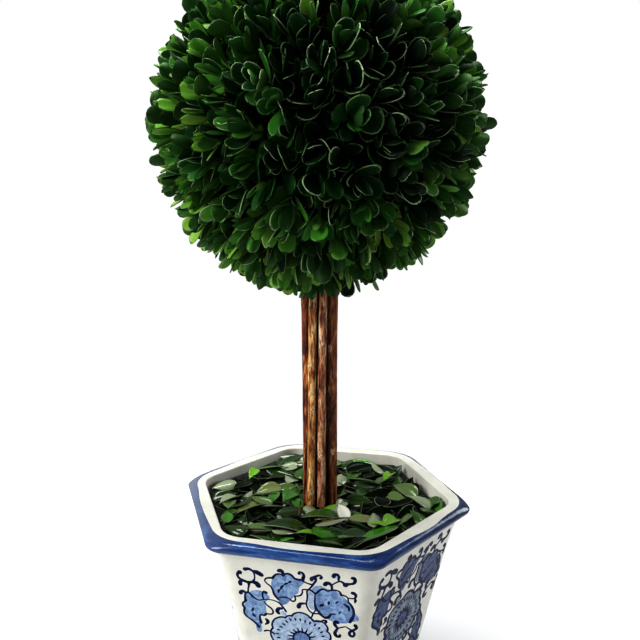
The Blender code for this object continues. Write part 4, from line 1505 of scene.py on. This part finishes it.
def make_ball():
    """The clipped ball: twigs and leaves by the source's rule, carried to finer shoots."""
    rng = random.Random(SEED)
    forms = leaf_forms(rng, 18, OBOVATE, (0.40, 0.62), (-0.16, 0.20))
    forms += leaf_forms(rng, 4, LANCE, (0.34, 0.44), (-0.16, 0.20))
    pile, twigs = LeafPile(in_ball), []
    grow_sprigs(pile, twigs, forms, rng, SPRIGS, SPRIG_SHIFT, SHOOT_REACH, PAIRS, 1.0, False)
    grow_sprigs(pile, twigs, forms, rng, INNER_SPRIGS, INNER_SHIFT, INNER_REACH, PAIRS[INNER_PAIRS],
                INNER_SHARE, True)
    count = math.ceil(len(pile.leaves) * LEAF_TRIANGLES / PIECE_TRIANGLES)
    pile.pieces("boxwood_leaves", leaf_mats(), "boxwood_leaves", ["boxwood_ball"], count)
    add_piece("boxwood_twigs", *joined(twigs), [twig_look()], None, "boxwood_leaves", ["boxwood_ball"])
    make_core()


# Litter: how loose leaves are laid in the pot, and how the bed under them lies
LITTER_TRIES = 4200
LITTER_LOW = FILL_TOP + GAP + 0.0014
LITTER_STEP = 0.0005
LITTER_STEPS = 30
LITTER_RISE = 21.0
LITTER_ROLL = 30.0
LITTER_DISH = 0.0048
LITTER_HEAP = 0.0024
HEAP_WAY = Vector((-0.80, 0.60, 0.0))
LITTER_MARGIN = 0.0008
LITTER_SINK = 0.0010
LITTER_SPARE = 0.0010
LITTER_UNDER_RIM = 0.0044
LITTER_CLIMB = 0.0041
CORNER_CUT = 0.965
SLENDER_CHANCE = 0.28
FLIPPED_CHANCE = 0.28
BED_ROWS = 14
BED_LIFT = 0.0016
BED_LUMPS = 0.0010
BED_LUMP_SCALE = 190
BED_EDGE = 0.0012
# Litter tones. Grey sage is partly painted sheen, and white is a painted highlight
LITTER_TONES = (
    (0.0015, 0.006, 0.0008), (0.018, 0.056, 0.007), (0.044, 0.120, 0.015), (0.120, 0.195, 0.058),
    (0.280, 0.330, 0.210), (0.055, 0.215, 0.012), (0.170, 0.400, 0.020), (0.200, 0.245, 0.090),
    (0.750, 0.760, 0.680), (0.120, 0.060, 0.028),
)
DARKEST, DARK, GREEN, SAGE, GREY_SAGE_AND_SHEEN, BRIGHT, LIME, OLIVE, WHITE_PAINTED_GLINT, TWIG_BROWN = range(10)
LITTER_CHANCES = (16, 19, 19, 16, 11, 12, 3, 6, 2, 0)
# How many of the first, lowest leaves take the darkest tone as painted shade
SHADED_LOWEST_LEAVES = 150
LITTER_EDGES = ((0.150, 0.190, 0.105), (0.050, 0.080, 0.032))
LITTER_TWIGS = 12
LITTER_LENGTHS = (0.0125, 0.0205)
SLENDER_LENGTHS = (0.018, 0.027)

# The bits of twig that lie on top, and the tubes that keep leaves off the sticks: how much
# wider than a stick, and how far up it as a share of its height
TWIG_LENGTHS = (0.012, 0.024)
TWIG_REACH = 0.05
TWIG_RISE = 8
TWIG_LIFT = 0.0035
BARRIER_WIDTH = 1.12
BARRIER_SHARE = 0.15

# Leaves on top that stand out in the photograph: place in mm, heading, rise and roll in
# degrees, length in mm, tone, and whether slender
SHOWN_LEAVES = (
    ((14.5, -13.5), (-60, -7, 10), 14.0, WHITE_PAINTED_GLINT, False),
    ((43.0, -22.5), (68, 5, 6), 17.0, LIME, False),
    ((36.5, -29.5), (10, 3, -6), 9.5, LIME, False),
    ((38.5, -38.0), (50, 5, -8), 29.0, BRIGHT, True),
    ((1.0, -47.0), (15, 5, -14), 13.0, LIME, False),
    ((-54.0, -17.5), (70, 5, -8), 16.0, GREY_SAGE_AND_SHEEN, False),
    ((-40.0, -22.0), (60, 8, -10), 21.0, OLIVE, False),
    ((-37.0, 6.0), (38, 13, 14), 18.0, OLIVE, False),
    ((-22.0, 2.0), (80, 10, 14), 17.0, BRIGHT, False),
    ((-52.0, 23.0), (80, 22, 12), 12.0, LIME, False),
    ((-14.0, -40.5), (12, 3, -8), 26.0, DARK, False),
    ((-27.0, -47.5), (25, 4, -12), 18.0, SAGE, False),
    ((-29.0, -15.5), (14, 2, -18), 22.0, SAGE, True),
    ((46.5, 21.5), (-40, 8, 10), 20.0, SAGE, False),
    ((56.0, 7.0), (-35, 5, -12), 19.0, GREY_SAGE_AND_SHEEN, False),
    ((34.5, 38.0), (72, 16, -10), 13.5, LIME, False),
    ((11.5, -4.0), (70, 16, 16), 12.5, GREY_SAGE_AND_SHEEN, False),
    ((2.5, -21.0), (22, 5, -8), 23.0, GREEN, False),
    ((-45.0, 36.0), (18, 8, -12), 21.0, BRIGHT, True),
    ((19.0, 33.0), (-8, 4, -14), 20.0, SAGE, True),
)


def litter_limit(x, y):
    """How high leaves may pile at a place: lower in the middle, up to just under the rim."""
    away = math.hypot(x, y) / (MOUTH_WIDTH / 2)
    return POT_HEIGHT - LITTER_UNDER_RIM + LITTER_CLIMB * min(1.0, away) ** 2


def litter_floor(x, y):
    """How low leaves may lie at a place: the bed is dished, and heaped at the back left."""
    half = MOUTH_WIDTH / 2
    heaped = max(0.0, Vector((x, y, 0.0)).dot(HEAP_WAY) / half) ** 2
    return LITTER_LOW + LITTER_DISH * (math.hypot(x, y) / half) ** 2 + LITTER_HEAP * heaped


def in_pot(points, spare=0.0):
    """Whether a loose leaf lies inside the pot's wall and some way below its limit."""
    turns = np.radians(30 + 60 * np.arange(SIDES))
    away = (points[:, :1] * np.cos(turns) + points[:, 1:2] * np.sin(turns)).max(axis=1)
    for (x, y, z), out in zip(points, away):
        half = body_width(min(z, BODY_TOP)) / 2 - WALL - LITTER_MARGIN
        if out > half or math.hypot(x, y) > half / math.cos(math.pi / 6) * CORNER_CUT:
            return False
        if z > litter_limit(x, y) - spare or z < litter_floor(x, y) - LITTER_SINK:
            return False
    return True


def stick_barriers():
    """The lower ends of the sticks as plain tubes that no loose leaf may cross."""
    trees = []
    for foot, tip, radius, _ in STICKS.values():
        low, high = view_point(*foot, FILL_TOP), view_point(*tip, SOCKET_TOP)
        points = [low.lerp(high, share) + view_way(turn) * radius * BARRIER_WIDTH
                  for share in (0.0, BARRIER_SHARE) for turn in round_turns(8)]
        trees.append(BVHTree.FromPolygons(points, tube(2, 8, True) + [tuple(range(8))]))
    return trees


def lay_leaf(pile, form, spot, turns, length, tone, edge, flipped, start, climb=LITTER_STEP):
    """Lays one loose leaf at the first level from the start by steps where it crosses nothing."""
    heading, rise, roll = (math.radians(turn) for turn in turns)
    way = Vector((math.cos(heading), math.sin(heading), math.tan(rise))).normalized()
    facing = Vector((0, 0, -1 if flipped else 1))
    facing.rotate(Matrix.Rotation(roll, 3, way))
    under = min(tone + 1, GREY_SAGE_AND_SHEEN) if tone < GREY_SAGE_AND_SHEEN else tone
    tones = (tone, under, tone if tone == TWIG_BROWN else len(LITTER_TONES) + edge)
    for step in range(LITTER_STEPS):
        root = Vector((spot[0], spot[1], start + climb * step)) - way * length / 2
        if pile.add(form, frame_along(root, way, facing), length, tones):
            return True
    return False


def scatter_leaf(pile, forms, rng):
    """One loose leaf of any kind at any place in the pot."""
    half = MOUTH_WIDTH / 2 / math.cos(math.pi / 6)
    away, turn = half * math.sqrt(rng.random()), rng.uniform(0, 2 * math.pi)
    spot = (away * math.cos(turn), away * math.sin(turn))
    slender = rng.random() < SLENDER_CHANCE
    length = rng.uniform(*(SLENDER_LENGTHS if slender else LITTER_LENGTHS))
    tone = rng.choices(range(len(LITTER_TONES)), LITTER_CHANCES)[0]
    # The lowest leaves take the darkest tone as painted shade
    if len(pile.leaves) < SHADED_LOWEST_LEAVES:
        tone = DARKEST
    turns = (rng.uniform(0, 360), rng.gauss(0, LITTER_RISE), rng.gauss(0, LITTER_ROLL))
    lay_leaf(pile, rng.choice(forms[slender]), spot, turns, length, tone, rng.random() < 0.5,
             rng.random() < FLIPPED_CHANCE, litter_floor(*spot))


def twig_form():
    """A bit of twig of length 1, as a form that is laid like a leaf."""
    points, faces = twig(Vector((0.0, 0.0, 0.0)), Vector((1.0, 0.0, 0.0)), 0.055, 0.035)
    proxy = [(0.0, -0.04, 0.0), (0.0, 0.04, 0.0), (1.0, -0.03, 0.0), (1.0, 0.03, 0.0)]
    kinds = [TOP] * len(faces)
    return np.array([tuple(p) for p in points]), faces, np.array(kinds), np.array(proxy), [(0, 1, 3, 2)]


def scatter_twig(pile, form, rng):
    """One bit of brown twig on top of the leaves."""
    spot = (rng.uniform(-TWIG_REACH, TWIG_REACH), rng.uniform(-TWIG_REACH, TWIG_REACH))
    turns = (rng.uniform(0, 360), rng.uniform(-TWIG_RISE, TWIG_RISE), 0.0)
    lay_leaf(pile, form, spot, turns, rng.uniform(*TWIG_LENGTHS), TWIG_BROWN, 0, False,
             litter_floor(*spot) + TWIG_LIFT)


def litter_bed():
    """The packed layer under the loose leaves, dark as painted shade: a lumpy sheet that fills the pot."""
    low = FILL_TOP + GAP
    edge = level_ring(body_width(low) - 2 * (WALL + 2 * GAP), CAVITY_CORNER, low)
    rings = []
    for step in range(BED_ROWS + 1):
        rings.append([])
        for rim in edge:
            turn = math.atan2(rim.y, rim.x) - VIEW_TURN
            hole = view_point(STEM_REACH[0] * math.cos(turn), -STEM_REACH[1] * math.sin(turn), low)
            spot = hole.lerp(rim, step / BED_ROWS)
            lift = BED_LIFT + BED_LUMPS * noise.noise(spot * BED_LUMP_SCALE)
            if step in (0, BED_ROWS):
                lift = BED_EDGE
            dish = litter_floor(spot.x, spot.y) - LITTER_LOW
            rings[-1].append(spot + Vector((0.0, 0.0, lift + dish)))
    rings += [[Vector((p.x, p.y, low)) for p in rings[step]] for step in (BED_ROWS, 0)]
    points, around = [p for ring in rings for p in ring], len(edge)
    inner, under = list(range(around)), list(range(len(points) - around, len(points)))
    faces = tube(len(rings), around) + belt(under, inner)
    add_piece("litter_bed", points, faces, [crumb_and_shade_look()], None, "litter_leaves", ["leaf_litter"])


def make_litter():
    """The loose preserved leaves that cover the pot's fill."""
    rng = random.Random(SEED + 1)
    forms = (leaf_forms(rng, 14, OBOVATE, (0.50, 0.72), (-0.26, 0.22)),
             leaf_forms(rng, 5, LANCE, (0.34, 0.44), (-0.22, 0.16)))
    pile = LeafPile(in_pot, stick_barriers())
    for (x, y), turns, length, tone, slender in SHOWN_LEAVES:
        lay_leaf(pile, forms[slender][0], (x * MM, y * MM), turns, length * MM, tone, 0, False,
                 POT_HEIGHT, -LITTER_STEP)
    pile.allowed = lambda points: in_pot(points, LITTER_SPARE)
    for _ in range(LITTER_TRIES):
        scatter_leaf(pile, forms, rng)
    for _ in range(LITTER_TWIGS):
        scatter_twig(pile, twig_form(), rng)
    mats = leaf_looks("litter_top", LITTER_TONES[:DARK], 0.17, 0.05)
    mats += leaf_looks("litter_top", LITTER_TONES[DARK:], 0.17, 0.6, DARK + 1)
    mats += leaf_looks("litter_edge", LITTER_EDGES, 0.40, 0.4)
    pile.pieces("litter_loose", mats, "litter_leaves", ["leaf_litter"], 1)
    litter_bed()


# Stage
FLOOR_REACH = 0.36
FLOOR_SIDES = 96
FLOOR_DOWN = 0.0004
FILL_COLOUR = (0.95, 0.97, 1.0, 1.0)
FILL_STRENGTH = 0.42


def make_floor():
    """A round plain pale table top."""
    look = Look("studio_floor", (0.56, 0.56, 0.56), 0.9, Specular_IOR_Level=0.0,
                Emission_Color=(*PLAIN, 1.0), Emission_Strength=0.14)
    points = [(FLOOR_REACH * math.cos(t), FLOOR_REACH * math.sin(t), -FLOOR_DOWN)
              for t in round_turns(FLOOR_SIDES)]
    mesh = new_mesh("studio_floor", points, [tuple(range(FLOOR_SIDES))], [look.mat])
    floor = link("studio_floor", mesh)


def make_world():
    """White to the camera, and a soft even light on the object."""
    world = bpy.data.worlds.new("studio")
    bpy.context.scene.world = world
    world.use_nodes = True
    tree = world.node_tree
    fill = tree.nodes["Background"]
    feed(tree, fill, {"Color": FILL_COLOUR, "Strength": FILL_STRENGTH})
    seen = new_node(tree, "Background", {"Color": (*PLAIN, 1.0)})
    path = new_node(tree, "LightPath", {})
    mix = new_node(tree, "MixShader", {"Fac": path.outputs["Is Camera Ray"],
                                       1: fill.outputs["Background"], 2: seen.outputs["Background"]})
    feed(tree, tree.nodes["World Output"], {"Surface": mix.outputs["Shader"]})


# The lights: place, the point each is aimed at, side, power and colour
LIGHTS = {
    "key_left": ((-1.05, -0.95, 0.95), (0, 0, 0.18), 0.8, 25.5, (1.0, 0.99, 0.965)),
    "side_right": ((1.05, 0.95, 0.75), (0, 0, 0.25), 0.8, 12.0, PLAIN),
    "above": ((-0.15, 0.15, 1.6), (0, 0, 0.2), 0.9, 37.0, PLAIN),
}


def make_lights():
    """Large square lights from the front left, from the right and from above."""
    for name, (place, target, side, power, colour) in LIGHTS.items():
        data = bpy.data.lights.new(name, "AREA")
        data.shape = "SQUARE"
        data.size = side
        data.energy = power
        data.color = colour
        aim(link(name, data), place, Vector(target) - Vector(place))


# The camera was fitted to the photograph in units of one width of the rim's flat
VIEW_UNIT = 0.1457
VIEW_FROM = (-0.013, -2.568, 1.13)
VIEW_DOWN = math.radians(9.24)
FOCAL_PIXELS = 656
PICTURE_PIXELS = 640
SENSOR = 36.0
DISPLAY_GAMMA = 0.75


def make_camera():
    """The camera at the photograph's place."""
    turn = Matrix.Rotation(VIEW_TURN, 3, "Z")
    data = bpy.data.cameras.new("photo_view")
    data.sensor_width = SENSOR
    data.lens = SENSOR * FOCAL_PIXELS / PICTURE_PIXELS
    data.clip_start = 0.01
    camera = link("photo_view", data)
    aim(camera, turn @ (Vector(VIEW_FROM) * VIEW_UNIT) + Vector((0.0, 0.0, POT_HEIGHT)),
        turn @ Vector((0.0, math.cos(VIEW_DOWN), -math.sin(VIEW_DOWN))))
    bpy.context.scene.camera = camera


def dress_fill():
    """The foam block keeps its CAD solid and gets its own material."""
    mat = foam_look()
    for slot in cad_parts["pot_fill"].material_slots:
        slot.material = mat


make_camera()
make_world()
make_lights()
make_floor()
make_pot()
for stick_number, stick_name in enumerate(STICKS):
    make_stick(stick_number, stick_name)
dress_fill()
make_litter()
make_ball()
bpy.context.scene.view_settings.view_transform = "Standard"
bpy.context.scene.view_settings.gamma = DISPLAY_GAMMA
